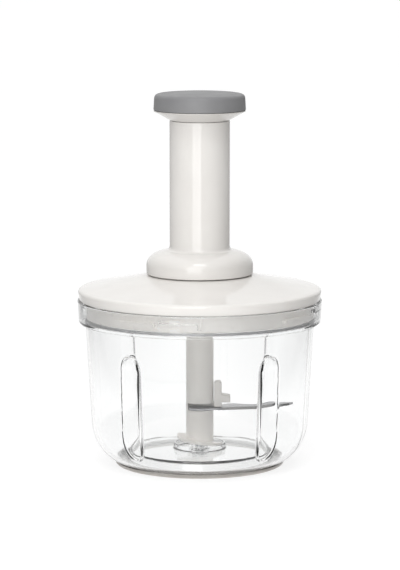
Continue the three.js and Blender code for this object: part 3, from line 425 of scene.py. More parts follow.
# Materials
def blank(name):
    """Material, its node tree, its shader and the place on the piece"""
    material = bpy.data.materials.new(name)
    material.use_nodes = True
    tree = material.node_tree
    place = tree.nodes.new("ShaderNodeTexCoord").outputs["Object"]
    return material, tree, tree.nodes["Principled BSDF"], place


def noise(tree, place, size, detail=2, stretch=(1, 1, 1)):
    """Noise whose blobs are about size millimetres across"""
    mapping = tree.nodes.new("ShaderNodeMapping")
    mapping.inputs["Scale"].default_value = stretch
    texture = tree.nodes.new("ShaderNodeTexNoise")
    texture.inputs["Scale"].default_value = 1 / (size * MM)
    texture.inputs["Detail"].default_value = detail
    tree.links.new(place, mapping.inputs["Vector"])
    tree.links.new(mapping.outputs["Vector"], texture.inputs["Vector"])
    return texture.outputs["Fac"]


def ranged(tree, source, ends, values, kind="LINEAR"):
    """Source spread from its two ends to two values"""
    spread = tree.nodes.new("ShaderNodeMapRange")
    spread.interpolation_type = kind
    for name, value in zip(("From Min", "From Max", "To Min", "To Max"), (*ends, *values)):
        spread.inputs[name].default_value = value
    tree.links.new(source, spread.inputs["Value"])
    return spread.outputs["Result"]


def tinted(tree, source, dark, light):
    """Colour that drifts between two shades with the noise"""
    ramp = tree.nodes.new("ShaderNodeValToRGB")
    for end, share, colour in zip(ramp.color_ramp.elements, NOISE_SHARES, (dark, light)):
        end.position = share
        end.color = (*colour, 1)
    tree.links.new(source, ramp.inputs["Fac"])
    return ramp.outputs["Color"]


def surfaced(tree, shader, shade, gloss, grain, depth):
    """Gives a shader its shade, gloss and fine relief"""
    tree.links.new(shade, shader.inputs["Base Color"])
    tree.links.new(gloss, shader.inputs["Roughness"])
    bump = tree.nodes.new("ShaderNodeBump")
    bump.inputs["Distance"].default_value = depth * MM
    tree.links.new(grain, bump.inputs["Height"])
    tree.links.new(bump.outputs["Normal"], shader.inputs["Normal"])


def plastic(name, looks, ior=PLASTIC_IOR, clear_share=0):
    """Plastic with a slight drift of shade, uneven gloss and a fine skin"""
    drift, patch, dark, light, smooth, rough, grain, detail, depth = looks
    material, tree, shader, place = blank(name)
    shade = tinted(tree, noise(tree, place, drift), dark, light)
    gloss = ranged(tree, noise(tree, place, patch), NOISE_SHARES, (smooth, rough))
    surfaced(tree, shader, shade, gloss, noise(tree, place, grain, detail), depth)
    shader.inputs["IOR"].default_value = ior
    shader.inputs["Transmission Weight"].default_value = clear_share
    return material


def glossy_white():
    return plastic("glossy warm white", GLOSSY)


def flare_painted_shade_white():
    """Glossy white of the flare with painted shade: darker than the sleeve's white, standing in for the
    cap's shadow
    """
    return plastic("painted-shade warm white", FLARE_PAINTED_SHADE)


def satin_white():
    return plastic("satin warm white", SATIN)


def soft_grey():
    return plastic("soft-touch grey", SOFT_TOUCH)


def natural_acetal():
    return plastic("natural acetal", ACETAL)


def clear_plastic():
    return plastic("clear polished plastic", CLEAR, CLEAR_IOR, 1)


def ring_grey():
    return plastic("translucent grey elastomer", ELASTOMER, ELASTOMER_IOR, ELASTOMER_CLEAR_SHARE)


def milky_silicone():
    return plastic("milky silicone", SILICONE, SILICONE_IOR, SILICONE_CLEAR_SHARE)


def skirt_painted_glow_white():
    """Satin white of the lid's skirt, lightened and given a painted glow that stands in for light caught in
    the clear rim
    """
    material = plastic("painted-glow white", SKIRT_PAINTED_LIGHT)
    shader = material.node_tree.nodes["Principled BSDF"]
    shader.inputs["Emission Color"].default_value = SKIRT_PAINTED_GLOW_COLOUR
    shader.inputs["Emission Strength"].default_value = SKIRT_PAINTED_GLOW
    return material


def spindle_painted_glow_white():
    """Satin white of the spindle, with a painted glow on its foot that fades upwards, standing in for light
    that the clear bowl's floor gathers
    """
    material = plastic("foot-glow painted white", SATIN)
    tree = material.node_tree
    shader = tree.nodes["Principled BSDF"]
    split = tree.nodes.new("ShaderNodeSeparateXYZ")
    tree.links.new(tree.nodes["Texture Coordinate"].outputs["Object"], split.inputs["Vector"])
    ends = (VANE_LOW * MM, SLOT_ROOF * MM)
    glow = ranged(tree, split.outputs["Z"], ends, (FOOT_PAINTED_GLOW, 0), "SMOOTHSTEP")
    tree.links.new(glow, shader.inputs["Emission Strength"])
    shader.inputs["Emission Color"].default_value = FOOT_PAINTED_GLOW_COLOUR
    return material


def steel(name, looks):
    """Stainless steel with fine scratches drawn out along one direction"""
    dark, light, smooth, rough, stretch, depth = looks
    material, tree, shader, place = blank(name)
    shade = tinted(tree, noise(tree, place, STEEL_DRIFT, STEEL_DETAIL, stretch), dark, light)
    patches = noise(tree, place, STEEL_PATCH, STEEL_DETAIL, stretch)
    gloss = ranged(tree, patches, NOISE_SHARES, (smooth, rough))
    scratches = noise(tree, place, STEEL_SCRATCH, SCRATCH_DETAIL, stretch)
    surfaced(tree, shader, shade, gloss, scratches, depth)
    shader.inputs["Metallic"].default_value = 1
    return material


def blade_steel():
    return steel("ground blade steel", GROUND_STEEL)


def turned_steel():
    return steel("plain bright steel", BRIGHT_STEEL)


def drawn_steel():
    return steel("drawn spring steel", DRAWN_STEEL)


# Bowl
def corner_height(radius):
    """Outside of the bowl's corner at a radius"""
    share = (radius - CORNER_CENTRE) / CORNER_WIDTH
    return WAIST_HEIGHT - CORNER_DROP * math.sqrt(1 - share * share)


def bar_radius(apart, above, radius, axis_out):
    """How far from the bowl's axis an upright bar with a domed top begins, apart degrees beside it"""
    turn = math.radians(apart)
    left = radius ** 2 - (max(0, above) / ARCH_STRETCH) ** 2 - (axis_out * math.sin(turn)) ** 2
    return axis_out * math.cos(turn) - math.sqrt(left) if left > 0 else 2 * RIM_RADIUS


def blended(first, second, ease):
    """Smaller of two radii, eased where they meet"""
    near = max(0, ease - abs(first - second))
    return min(first, second) - near * near / (4 * ease)


def wall_heights():
    """Heights down the straight wall, close together round the flutes' tops"""
    return [start - step * i for start, step, count in WALL_STOPS for i in range(count)]


def wall_section(inner):
    """Stops down the wall and round the corner: point, and whether the flutes press it"""
    top, mouth, waist = SHELF_UNDERSIDE, MOUTH_RADIUS, WAIST_RADIUS
    reach, drop = CORNER_WIDTH, CORNER_DROP
    last_angle = -math.degrees(math.acos((FOOT_RADIUS - CORNER_CENTRE) / CORNER_WIDTH))
    if inner:
        top, mouth, waist = SHELF_TOP, MOUTH_BORE, WAIST_RADIUS - BOWL_WALL
        reach, drop = CORNER_WIDTH - BOWL_WALL, CORNER_DROP - BOWL_WALL
        last_angle = -math.degrees(math.acos((TROUGH_SLOPE + TROUGH_ROUND) / reach))
    stops = []
    for height in [top, *wall_heights()[1:]]:
        share = (height - WAIST_HEIGHT) / (top - WAIST_HEIGHT)
        stops.append(((waist + share * (mouth - waist), height), True))
    for point in arc_points((CORNER_CENTRE, WAIST_HEIGHT), reach, drop, 0, last_angle, CORNER_STEPS):
        stops.append((point, True))
    return stops


def bowl_section():
    """Stops of the bowl's whole section, from its axis underneath to its axis inside"""
    def plain(points):
        return [(point, False) for point in points]

    trough_radius = CORNER_CENTRE + TROUGH_SLOPE
    trough_floor = WAIST_HEIGHT - CORNER_DROP + BOWL_WALL
    underside = softened([
        (0, UNDER_BOSS_BOTTOM),
        (UNDER_BOSS_RADIUS, UNDER_BOSS_BOTTOM, EDGE),
        (UNDER_BOSS_RADIUS, FLOOR_UNDERSIDE, EDGE),
        (CORNER_CENTRE - TROUGH_WALL, FLOOR_UNDERSIDE, TROUGH_ROUND),
        (trough_radius - TROUGH_WALL, FOOT_BOTTOM, EDGE),
        (FOOT_RADIUS, FOOT_BOTTOM, EDGE),
        (FOOT_RADIUS, corner_height(FOOT_RADIUS)),
    ])[:-1]
    rim = softened([
        (MOUTH_RADIUS, SHELF_UNDERSIDE),
        (RIM_FOOT_RADIUS, SHELF_UNDERSIDE, RIM_FOOT_ROUND),
        (RIM_RADIUS, BOWL_TOP, RIM_ROUND),
        (RIM_BORE, BOWL_TOP, RIM_ROUND),
        (RIM_BORE, SHELF_TOP, SOFT),
        (MOUTH_BORE, SHELF_TOP),
    ])[1:-1]
    low_rim = [point for point in rim if point[1] < RIM_PLAIN_LOW]
    slope = (RIM_RADIUS - RIM_FOOT_RADIUS) / (BOWL_TOP - SHELF_UNDERSIDE)
    outside = [(RIM_FOOT_RADIUS + slope * (height - SHELF_UNDERSIDE), height) for height in mark_heights()]
    inside = [(RIM_BORE, height) for height in ramp_heights()]
    lower = [point for point in low_rim if point[0] > RIM_SPLIT]
    upper = [point for point in rim if point[1] > RIM_PLAIN_HIGH]
    shelf = [point for point in low_rim if point[0] <= RIM_SPLIT]
    guard_bore, socket = GUARD_RADIUS - GUARD_WALL, PIN_RADIUS + SEAT_GAP
    floor = softened([
        wall_section(True)[-1][0],
        (trough_radius, trough_floor, TROUGH_ROUND / 2),
        (CORNER_CENTRE, FLOOR_TOP, FLOOR_EDGE_ROUND),
        (GUARD_RADIUS, FLOOR_TOP, SOFT),
        (GUARD_RADIUS, GUARD_TOP, SOFT),
        (guard_bore, GUARD_TOP, SOFT),
        (guard_bore, FLOOR_TOP, SOFT),
        (POST_RADIUS, FLOOR_TOP, SOFT),
        (POST_RADIUS, POST_TOP, EDGE),
        (socket, POST_TOP, FINE),
        (socket, PIN_SOCKET_FLOOR),
        (0, PIN_SOCKET_FLOOR),
    ])[1:]
    return (
        plain(underside) + wall_section(False)[::-1] + plain(lower + outside + upper + inside + shelf)
        + wall_section(True) + plain(floor)
    )


def mark_heights():
    """Heights up the outside of the rim, close together round the mark"""
    reach = MARK_WIDTH / 2 + MARK_EDGE
    near = [MARK_HEIGHT - reach + MARK_STEP * step for step in range(MARK_STOPS)]
    return [*OUTSIDE_LOW_STOPS, *near, *OUTSIDE_HIGH_STOPS]


def ramp_heights():
    """Heights down the inside of the rim, with the edges of the ramps and stops"""
    return [
        INSIDE_HIGH_STOP, RAMP_TOP + RAMP_EDGE, RAMP_TOP, RAMP_UNDERSIDE, RAMP_UNDERSIDE - RAMP_EDGE,
        STOP_UNDERSIDE, STOP_UNDERSIDE - RAMP_EDGE, *INSIDE_LOW_STOPS,
    ]


def bowl_angles():
    """Angles from the front at which the bowl is drawn: close together where it has detail"""
    angles = {-180 + COARSE_TURN * step for step in range(int(360 / COARSE_TURN))}
    detailed = [(middle, FLUTE_REACH) for middle in FLUTE_ANGLES] + [(MARK_ANGLE, MARK_TURN)]
    for middle, reach in detailed:
        steps = int(reach / FINE_TURN)
        angles |= {middle + FINE_TURN * step for step in range(-steps, steps + 1)}
    for i in range(BAYONET_COUNT):
        start = RAMP_START + i * 360 / BAYONET_COUNT
        for edge in (start, start + RAMP_ANGLE, start + RAMP_ANGLE + STOP_ANGLE):
            wrapped = (edge + 180) % 360 - 180
            angles |= {wrapped - EDGE_TURN, wrapped, wrapped + EDGE_TURN}
    kept = []
    for angle in sorted(angles):
        if not kept or angle - kept[-1] > LEAST_TURN:
            kept.append(angle)
    return kept


def pressed_radius(point, angle, inner):
    """Radius of the bowl's wall at a point, moved in where a flute or its ridge is nearer the axis"""
    radius, height = point
    apart = min(((angle - middle + 180) % 360 - 180 for middle in FLUTE_ANGLES), key=abs)
    if abs(apart) > FLUTE_REACH:
        return radius
    if not inner:
        bar = FLUTE_RADIUS + FLUTE_GROWTH * (FLUTE_DOME - height)
        return blended(radius, bar_radius(apart, height - FLUTE_DOME, bar, FLUTE_AXIS), FLUTE_EASE)
    above = height - RIDGE_DOME
    ridge = bar_radius(apart, above, RIDGE_RADIUS, RIDGE_AXIS + RIDGE_LEAN * (height - WAIST_HEIGHT))
    if above > 0:
        stem = bar_radius(apart, 0, STEM_RADIUS, radius - STEM_DEPTH + STEM_RADIUS)
        radius = blended(radius, stem, FLUTE_EASE)
    return blended(radius, ridge, RIDGE_EASE)


def mark_raise(point, angle):
    """Height of the pill-shaped mark above the rim at a point"""
    if point[0] < RIM_SPLIT:
        return 0
    along = math.radians(angle - MARK_ANGLE) * RIM_RADIUS
    past = max(0, abs(along) - (MARK_LENGTH - MARK_WIDTH) / 2)
    away = math.hypot(past, point[1] - MARK_HEIGHT)
    return MARK_RAISE * min(1, max(0, (MARK_WIDTH / 2 + MARK_EDGE - away) / MARK_EDGE))


def ramp_reach(point, angle):
    """How far a bayonet ramp or its stop stands in from the bore at a point"""
    if abs(point[0] - RIM_BORE) > WELD:
        return 0
    turn = (angle - RAMP_START) % (360 / BAYONET_COUNT)
    on_ramp = turn <= RAMP_ANGLE + WELD and RAMP_UNDERSIDE - WELD < point[1] < RAMP_TOP + WELD
    past_ramp = RAMP_ANGLE - WELD <= turn <= RAMP_ANGLE + STOP_ANGLE + WELD
    on_stop = past_ramp and STOP_UNDERSIDE - WELD < point[1] < RAMP_TOP + WELD
    return RAMP_REACH if on_ramp or on_stop else 0


def clear_bowl(material):
    section = bowl_section()
    inner_from = next(i for i, stop in enumerate(section) if stop[0][0] == RIM_BORE)
    bm = bmesh.new()
    stop_of = bm.verts.layers.int.new("stop")
    verts, edges = section_wire(bm, [stop[0] for stop in section])
    for i, vert in enumerate(verts):
        vert[stop_of] = i
    angles = bowl_angles()
    rotate(bm, verts, math.radians(angles[0] - 90))
    wire = verts + edges
    for here, after in zip(angles, angles[1:] + [angles[0] + 360]):
        wire = swept(bm, wire, math.radians(after - here), 1)
    bmesh.ops.remove_doubles(bm, verts=bm.verts, dist=WELD)
    for vert in bm.verts:
        shape_wall(vert, *section[vert[stop_of]], vert[stop_of] >= inner_from)
    return piece("clear_bowl", tidy(bm), material, "bowl", "clear_plastic", "bowl", sharp=BOWL_SHARP)


def shape_wall(vert, point, pressed, inner):
    """Moves a point of the bowl for the flute, the mark or the ramp that it lies on"""
    if point[0] == 0:
        return
    angle = math.degrees(math.atan2(vert.co.x, -vert.co.y))
    radius = point[0] + mark_raise(point, angle) - ramp_reach(point, angle)
    if pressed:
        radius = pressed_radius(point, angle, inner)
    vert.co = (*on_round(radius, angle), point[1])


def rest_ring(material):
    inner = CORNER_CENTRE + TROUGH_SLOPE - TROUGH_WALL
    outer = FOOT_RADIUS + SEAT_GAP
    lip = outer + RING_LIP
    start, top = (lip - RING_EDGE, 0), (lip, corner_height(lip) - RING_SLACK)
    section = [
        start, *bend_points(start, (lip, 0), top, 8),
        (outer, corner_height(outer) - RING_SLACK), (outer, RING_FLOOR),
    ]
    section += softened([(outer, RING_FLOOR), (inner, RING_FLOOR, SLIM), (inner, 0, SLIM), start])[1:-1]
    return piece("rest_ring", turned(section, LARGE_SIDES), material, "bowl", "grey_ring", "non_slip_ring")


def turning_pin(material):
    low = PIN_SOCKET_FLOOR + SEAT_GAP
    section = softened([
        (0, low), (PIN_RADIUS, low, FINE), (PIN_RADIUS, PIN_TOP - PIN_CHAMFER, FINE),
        (PIN_RADIUS - PIN_CHAMFER, PIN_TOP, FINE), (0, PIN_TOP),
    ])
    bm = turned(section, SMALL_SIDES)
    return piece("turning_pin", bm, material, "bowl", "plain_steel", "pivot_pin")


# Spindle and blade
def wedge(start, end, low, high):
    """Solid sector about the axis, reaching past the spindle"""
    reach = 2 * SPINDLE_RADIUS
    return raised([(0, 0), *arc_points((0, 0), reach, reach, start, end, 8)], low, high)


def foot_vane():
    """Sloping vane round the front of the spindle's foot"""
    inner, top = SPINDLE_RADIUS - OVERLAP, VANE_HIGH + VANE_THICKNESS
    bm = bmesh.new()
    outline = softened([
        (inner, VANE_HIGH), (VANE_RADIUS, VANE_HIGH, EDGE), (VANE_RADIUS, top, EDGE), (inner, top)])
    face = bm.faces.new([bm.verts.new((x, 0, z)) for x, z in outline])
    rotate(bm, bm.verts, math.radians(VANE_START))
    rise = (VANE_LOW - VANE_HIGH) / VANE_STEPS
    swept(bm, [face, *face.edges, *face.verts], math.radians(VANE_END - VANE_START), VANE_STEPS, rise)
    return tidy(bm)


def spindle(material):
    well = BUSH_RADIUS + SEAT_GAP
    body = turned(softened([
        (well, SPINDLE_BOTTOM, SLIM), (SPINDLE_RADIUS, SPINDLE_BOTTOM, EDGE),
        (SPINDLE_RADIUS, SPINDLE_TOP, SOFT), (SPINDLE_BORE, SPINDLE_TOP, EDGE),
        (SPINDLE_BORE, STRIP_WELL_FLOOR), (0, STRIP_WELL_FLOOR),
    ]) + [(0, BUSH_WELL_TOP), (well, BUSH_WELL_TOP)], MIDDLE_SIDES)
    body = combined("UNION", body, foot_vane())
    reach = 2 * SPINDLE_RADIUS
    corners = [(SLOT_LEFT, -reach), (reach, -reach), (reach, SLOT_BACK), (SLOT_LEFT, SLOT_BACK)]
    slot = raised(corners, SLOT_FLOOR, SLOT_ROOF)
    notches = copied_round(wedge(-NOTCH_ANGLE / 2, NOTCH_ANGLE / 2, NOTCH_FLOOR, 2 * SPINDLE_TOP), 2)
    body = combined("DIFFERENCE", body, slot, notches)
    return piece("spindle_tube", body, material, "blade_set", "white_satin", "spindle")


def spindle_bush(material):
    inner, low = PIN_RADIUS + SEAT_GAP, SPINDLE_BOTTOM + SEAT_GAP
    section = softened([
        (inner, low, FINE), (BUSH_RADIUS, low, FINE), (BUSH_RADIUS, BUSH_TOP, FINE),
        (inner, BUSH_TOP, FINE)])
    bm = turned(section, SMALL_SIDES)
    return piece("spindle_bearing", bm, material, "blade_set", "acetal", "spindle_bush")


def blade_edge(shares):
    return [(along * BLADE_LENGTH, across * BLADE_TIP_BACK) for along, across in shares]


def blade(material):
    left = -math.degrees(math.acos(-BLADE_HUB_LEFT / BLADE_HUB_RADIUS))
    hub = [(-BLADE_HUB_LEFT, BLADE_HUB_BACK)] + arc_points(
        (0, 0), BLADE_HUB_RADIUS, BLADE_HUB_RADIUS, left, -BLADE_ROOT_ANGLE, 12)
    front = smooth_through([hub[-1], *blade_edge(BLADE_FRONT_SHARES)], 8)
    root = (SPINDLE_RADIUS + TURN_GAP, BLADE_HUB_BACK)
    back = smooth_through([front[-1], *blade_edge(BLADE_BACK_SHARES), root], 6)
    bm = raised(hub + front + back, BLADE_SEAT, BLADE_SEAT + BLADE_THICKNESS)
    edge = {(round(x, 3), round(y, 3)) for x, y in front}
    for vert in bm.verts:
        on_front = (round(vert.co.x, 3), round(vert.co.y, 3)) in edge
        if on_front and vert.co.z > BLADE_SEAT + BLADE_THICKNESS / 2:
            share = (vert.co.x - GRIND_START) / (GRIND_END - GRIND_START)
            run_in = min(1, max(0, GRIND_RUN_IN * share))
            run_out = min(1, max(0, GRIND_RUN_OUT * (1 - share)))
            vert.co.y += GRIND_WIDTH * run_in * run_out
    sliced(bm, BLADE_CUTS)
    for vert in bm.verts:
        share = max(0, 2 * vert.co.x / BLADE_LENGTH - 1)
        vert.co.z += BLADE_TIP_RISE * share * share
    return piece("curved_blade", tidy(bm), material, "blade_set", "blade_steel", "blade", sharp=BLADE_SHARP)


def centred_block(outline, depth):
    """Solid of an outline given as X and height, centred on the XZ plane"""
    bm = raised(outline, -depth / 2, depth / 2)
    rotate(bm, bm.verts, math.pi / 2, "X")
    return bm


def blade_clip(material):
    right = CLIP_LEFT + CLIP_TAB_WIDTH
    top = CLIP_SEAT + CLIP_TAB_HEIGHT
    tab = centred_block(softened([
        (CLIP_LEFT, CLIP_SEAT), (right, CLIP_SEAT), (right, top, CLIP_TAB_ROUND),
        (CLIP_LEFT, top, CLIP_TAB_ROUND)], 6), CLIP_DEPTH)
    low = CLIP_SEAT + CLIP_BLOCK_GAP
    lock = centred_block([
        (right - OVERLAP, low), (right + CLIP_BLOCK_LENGTH, low),
        (right + CLIP_BLOCK_LENGTH, low + CLIP_BLOCK_HEIGHT - CLIP_BLOCK_SLOPE),
        (right - OVERLAP, low + CLIP_BLOCK_HEIGHT)], CLIP_DEPTH)
    tongue_left, tongue_top = CLIP_LEFT - CLIP_TONGUE_LENGTH, SLOT_ROOF - SEAT_GAP
    tongue = centred_block([
        (tongue_left, CLIP_SEAT), (CLIP_LEFT + OVERLAP, CLIP_SEAT),
        (CLIP_LEFT + OVERLAP, tongue_top), (tongue_left, tongue_top),
    ], CLIP_TONGUE_DEPTH)
    bmesh.ops.translate(tongue, verts=tongue.verts, vec=(0, CLIP_TONGUE_BACK, 0))
    body = combined(
        "UNION", eased(tab, CLIP_SOFTNESS), eased(lock, CLIP_SOFTNESS), eased(tongue, CLIP_SOFTNESS / 2))
    return piece("blade_lock", body, material, "blade_set", "white_satin", "blade_clip")


# Lid
def dome_points(wall):
    """Outside of the lid, or the hollow under it, from its edge to the flat top"""
    radius = LID_RADIUS - wall
    top = LID_TOP - wall
    shoulder = (radius - LID_SHOULDER_INSET, top - LID_SHOULDER_DROP)
    edge = (radius, LID_EDGE_TOP - wall)
    lower = bend_points(edge, (radius, shoulder[1] - LID_EDGE_DROP), shoulder, 10)
    upper = bend_points(shoulder, (radius - LID_CROWN_INSET, top - LID_CROWN_DROP), (LID_FLAT_RADIUS, top))
    return [edge, *lower, *upper]


def at_screws(bm):
    bmesh.ops.translate(bm, verts=bm.verts, vec=(SCREW_CIRCLE, 0, 0))
    return copied_round(bm, SCREW_COUNT, 180 / SCREW_COUNT)


def peg(radius, low, high):
    """Upright round bar on the axis"""
    return turned([(0, low), (radius, low), (radius, high), (0, high)], TINY_SIDES)


def hoop(radius, wall, low, high, sides):
    """Upright ring about the axis"""
    return turned([(radius - wall, low), (radius, low), (radius, high), (radius - wall, high)], sides)


def lid_shell(material):
    bore = GUIDE_RADIUS + TURN_GAP
    outside = softened([(LID_EDGE_RADIUS - LID_WALL, LID_SEAT, SLIM), (LID_EDGE_RADIUS, LID_SEAT, SOFT),
                        (LID_RADIUS, LID_EDGE_TOP)])[:-1] + dome_points(0)
    hollow = dome_points(LID_WALL)[::-1]
    middle = softened([(LID_FLAT_RADIUS, LID_TOP), (bore, LID_TOP, EDGE), (bore, LID_TOP - LID_WALL, FINE),
                       (LID_FLAT_RADIUS, LID_TOP - LID_WALL)])[1:-1]
    body = turned(outside + middle + hollow, LARGE_SIDES)
    rib = hoop(LID_RIB_RADIUS, LID_WALL, LID_RIB_BOTTOM, LID_EDGE_TOP + OVERLAP, LARGE_SIDES)
    press = hoop(PRESS_RING_RADIUS, PRESS_RING_WALL, PRESS_RING_BOTTOM, LID_TOP - OVERLAP, MIDDLE_SIDES)
    bosses = at_screws(peg(SCREW_BOSS_RADIUS, LID_RIB_BOTTOM, LID_BOSS_TOP))
    bore_top = SCREW_SEAT + SCREW_LENGTH + SEAT_GAP
    bores = at_screws(peg(SCREW_RADIUS + SEAT_GAP, LID_RIB_BOTTOM - OVERLAP, bore_top))
    body = combined("UNION", body, rib, press, bosses)
    body = combined("DIFFERENCE", body, bores)
    return piece("lid_dome", body, material, "lid", "white_gloss", "lid_shell")


def wrapped_pill(length, width, inner, outer, height, angle):
    """Block with round ends, bent round the axis"""
    straight = (length - width) / 2
    outline = (arc_points((straight, 0), width / 2, width / 2, -90, 90, 8)
               + arc_points((-straight, 0), width / 2, width / 2, 90, 270, 8))
    bm = raised(outline, 0, outer - inner)
    sliced(bm, range(int(-straight), int(straight) + 1, 2))
    for vert in bm.verts:
        along, up, depth = vert.co
        place = on_round(inner + depth, angle + math.degrees(along / outer))
        vert.co = (*place, height + up)
    bmesh.ops.recalc_face_normals(bm, faces=bm.faces)
    return bm


def lid_underside(material):
    bore, housing = SKIRT_RADIUS - SKIRT_WALL, HOUSING_RADIUS + HOUSING_WALL
    section = softened([
        (BEARING_BORE, BEARING_BOTTOM, SLIM), (BEARING_RADIUS, BEARING_BOTTOM, EDGE),
        (BEARING_RADIUS, PLATE_UNDERSIDE, FULL), (bore, PLATE_UNDERSIDE, PLATE_ROUND),
        (bore, SKIRT_BOTTOM, EDGE), (SKIRT_RADIUS, SKIRT_BOTTOM, EDGE),
        (SKIRT_RADIUS, PLATE_TOP, EDGE), (housing, PLATE_TOP, EDGE),
        (housing, HOUSING_TOP, SLIM), (HOUSING_RADIUS, HOUSING_TOP, SLIM),
        (HOUSING_RADIUS, PLATE_TOP), (BEARING_BORE, PLATE_TOP, SLIM),
    ])
    body = turned(section, LARGE_SIDES)
    length = math.radians(LUG_ANGLE) * LUG_RADIUS
    height, angle = LUG_TOP - LUG_HEIGHT / 2, LUG_START + LUG_ANGLE / 2
    lug = wrapped_pill(length, LUG_HEIGHT, SKIRT_RADIUS - OVERLAP, LUG_RADIUS, height, angle)
    body = combined("UNION", body, copied_round(lug, BAYONET_COUNT))
    holes = at_screws(peg(SCREW_RADIUS + SEAT_GAP, PLATE_UNDERSIDE - OVERLAP, PLATE_TOP + OVERLAP))
    body = combined("DIFFERENCE", body, holes)
    return piece("lid_skirt", body, material, "lid", "white_satin", "lid_underside")


def lid_seal(material):
    inner = SEAL_RADIUS - SEAL_WIDTH
    top = SEAL_SEAT + SEAL_THICKNESS
    section = softened([
        (inner, SEAL_SEAT, FINE), (SEAL_RADIUS, SEAL_SEAT, FINE),
        (SEAL_RADIUS, top - SEAL_THICKNESS / 2, TINY), (SEAL_RADIUS - SEAL_LIP / 2, top, TINY),
        (inner, top, FINE)])
    return piece("soft_seal", turned(section, LARGE_SIDES), material, "seal", "seal_silicone", "lid_seal")


def lid_screws(material):
    low = SCREW_SEAT - SCREW_HEAD_HEIGHT
    for i in range(SCREW_COUNT):
        body = turned(softened([
            (0, low), (SCREW_HEAD_RADIUS, low, FULL), (SCREW_HEAD_RADIUS, SCREW_SEAT, TINY),
            (SCREW_RADIUS, SCREW_SEAT), (SCREW_RADIUS, SCREW_SEAT + SCREW_LENGTH, EDGE),
            (0, SCREW_SEAT + SCREW_LENGTH)]), SMALL_SIDES)
        slot = block(2 * SCREW_HEAD_RADIUS, SCREW_SLOT_WIDTH / 2, low - OVERLAP, low + SCREW_SLOT_DEPTH)
        body = combined("DIFFERENCE", body, slot)
        bmesh.ops.translate(body, verts=body.verts, vec=(SCREW_CIRCLE, 0, 0))
        copied_round(body, 1, (i + 1 / 2) * 360 / SCREW_COUNT)
        piece(f"slotted_screw_{i + 1}", body, material, "lid", "plain_steel", f"lid_screw_{i + 1}")


def guide_tube(material):
    flange_top = GUIDE_SEAT + GUIDE_FLANGE_WALL
    section = softened([
        (DRIVE_BORE, GUIDE_SEAT, FINE), (GUIDE_FLANGE_RADIUS, GUIDE_SEAT, SLIM),
        (GUIDE_FLANGE_RADIUS, flange_top, SLIM), (GUIDE_RADIUS, flange_top, SLIM),
        (GUIDE_RADIUS, GUIDE_TOP, SLIM), (GUIDE_BORE, GUIDE_TOP, SLIM), (GUIDE_BORE, flange_top),
        (DRIVE_BORE, flange_top, FINE)])
    bm = turned(section, MIDDLE_SIDES)
    return piece("sliding_guide", bm, material, "lid", "white_satin", "guide_tube")


def drive_strip(material):
    length = HOUSING_TOP - STRIP_BOTTOM
    twist = 2 * math.pi * length / STRIP_LEAD
    x, y = STRIP_WIDTH / 2, STRIP_THICKNESS / 2
    bm = bmesh.new()
    outline = softened([(-x, -y, SLIM), (x, -y, SLIM), (x, y, SLIM), (-x, y, SLIM)], 2)
    face = bm.faces.new([bm.verts.new((a, b, STRIP_BOTTOM)) for a, b in outline])
    rotate(bm, bm.verts, twist)
    last = swept(bm, [face, *face.edges, *face.verts], -twist, STRIP_STEPS, length / STRIP_STEPS)
    drawn_up(bm, last, STRIP_TOP - HOUSING_TOP)
    inside = [item for item in last if isinstance(item, bmesh.types.BMFace) and item.is_valid]
    bmesh.ops.delete(bm, geom=inside, context="FACES_ONLY")
    bm = tidy(bm)
    return piece("twisted_strip", bm, material, "handle", "plain_steel", "drive_strip", sharp=STRIP_SHARP)


# Handle
def handle_sleeve(material):
    foot = COLLAR_BOTTOM + COLLAR_HEIGHT
    shoulder = SLEEVE_RADIUS + COLLAR_FILLET
    inner = COLLAR_RADIUS - COLLAR_WALL
    side = COLLAR_BOTTOM + COLLAR_SIDE
    ceiling = foot - COLLAR_WALL
    start = (COLLAR_RADIUS, side)
    outside = bend_points(start, (COLLAR_RADIUS, foot - COLLAR_SHOULDER_DROP), (shoulder, foot))
    fillet = bend_points((shoulder, foot), (SLEEVE_RADIUS, foot), (SLEEVE_RADIUS, foot + COLLAR_FILLET), 8)
    top = softened([
        (SLEEVE_RADIUS, foot), (SLEEVE_RADIUS, SLEEVE_TOP, SLIM), (SLEEVE_BORE, SLEEVE_TOP, FINE),
        (SLEEVE_BORE, ceiling)])[1:]
    rib, rib_bore = COLLAR_RIB_RADIUS, COLLAR_RIB_RADIUS - COLLAR_WALL
    rib_bottom = COLLAR_PLATE_LOW + COLLAR_PLATE_WALL + SEAT_GAP
    hollow = bend_points((rib, ceiling), (inner, ceiling - COLLAR_SHOULDER_DROP), (inner, side))
    ribs = [(rib_bore, ceiling), (rib_bore, rib_bottom), (rib, rib_bottom), (rib, ceiling)]
    bottom = softened([
        (inner, side), (inner, COLLAR_BOTTOM, SLIM), (COLLAR_RADIUS, COLLAR_BOTTOM, COLLAR_ROUND),
        start])[1:]
    section = bottom + outside + fillet + top + ribs + hollow
    bm = turned(section, MIDDLE_SIDES)
    return piece("push_handle", bm, material, "handle", "white_gloss", "handle_sleeve")


def collar_plate(material):
    inner, outer = GUIDE_RADIUS + SEAT_GAP, COLLAR_RADIUS - COLLAR_WALL - SEAT_GAP
    top = COLLAR_PLATE_LOW + COLLAR_PLATE_WALL
    section = softened([(inner, COLLAR_PLATE_LOW, SLIM), (outer, COLLAR_PLATE_LOW, SLIM), (outer, top, FINE),
                        (inner, top, FINE)])
    bm = turned(section, MIDDLE_SIDES)
    return piece("collar_base", bm, material, "handle", "white_satin", "collar_plate")


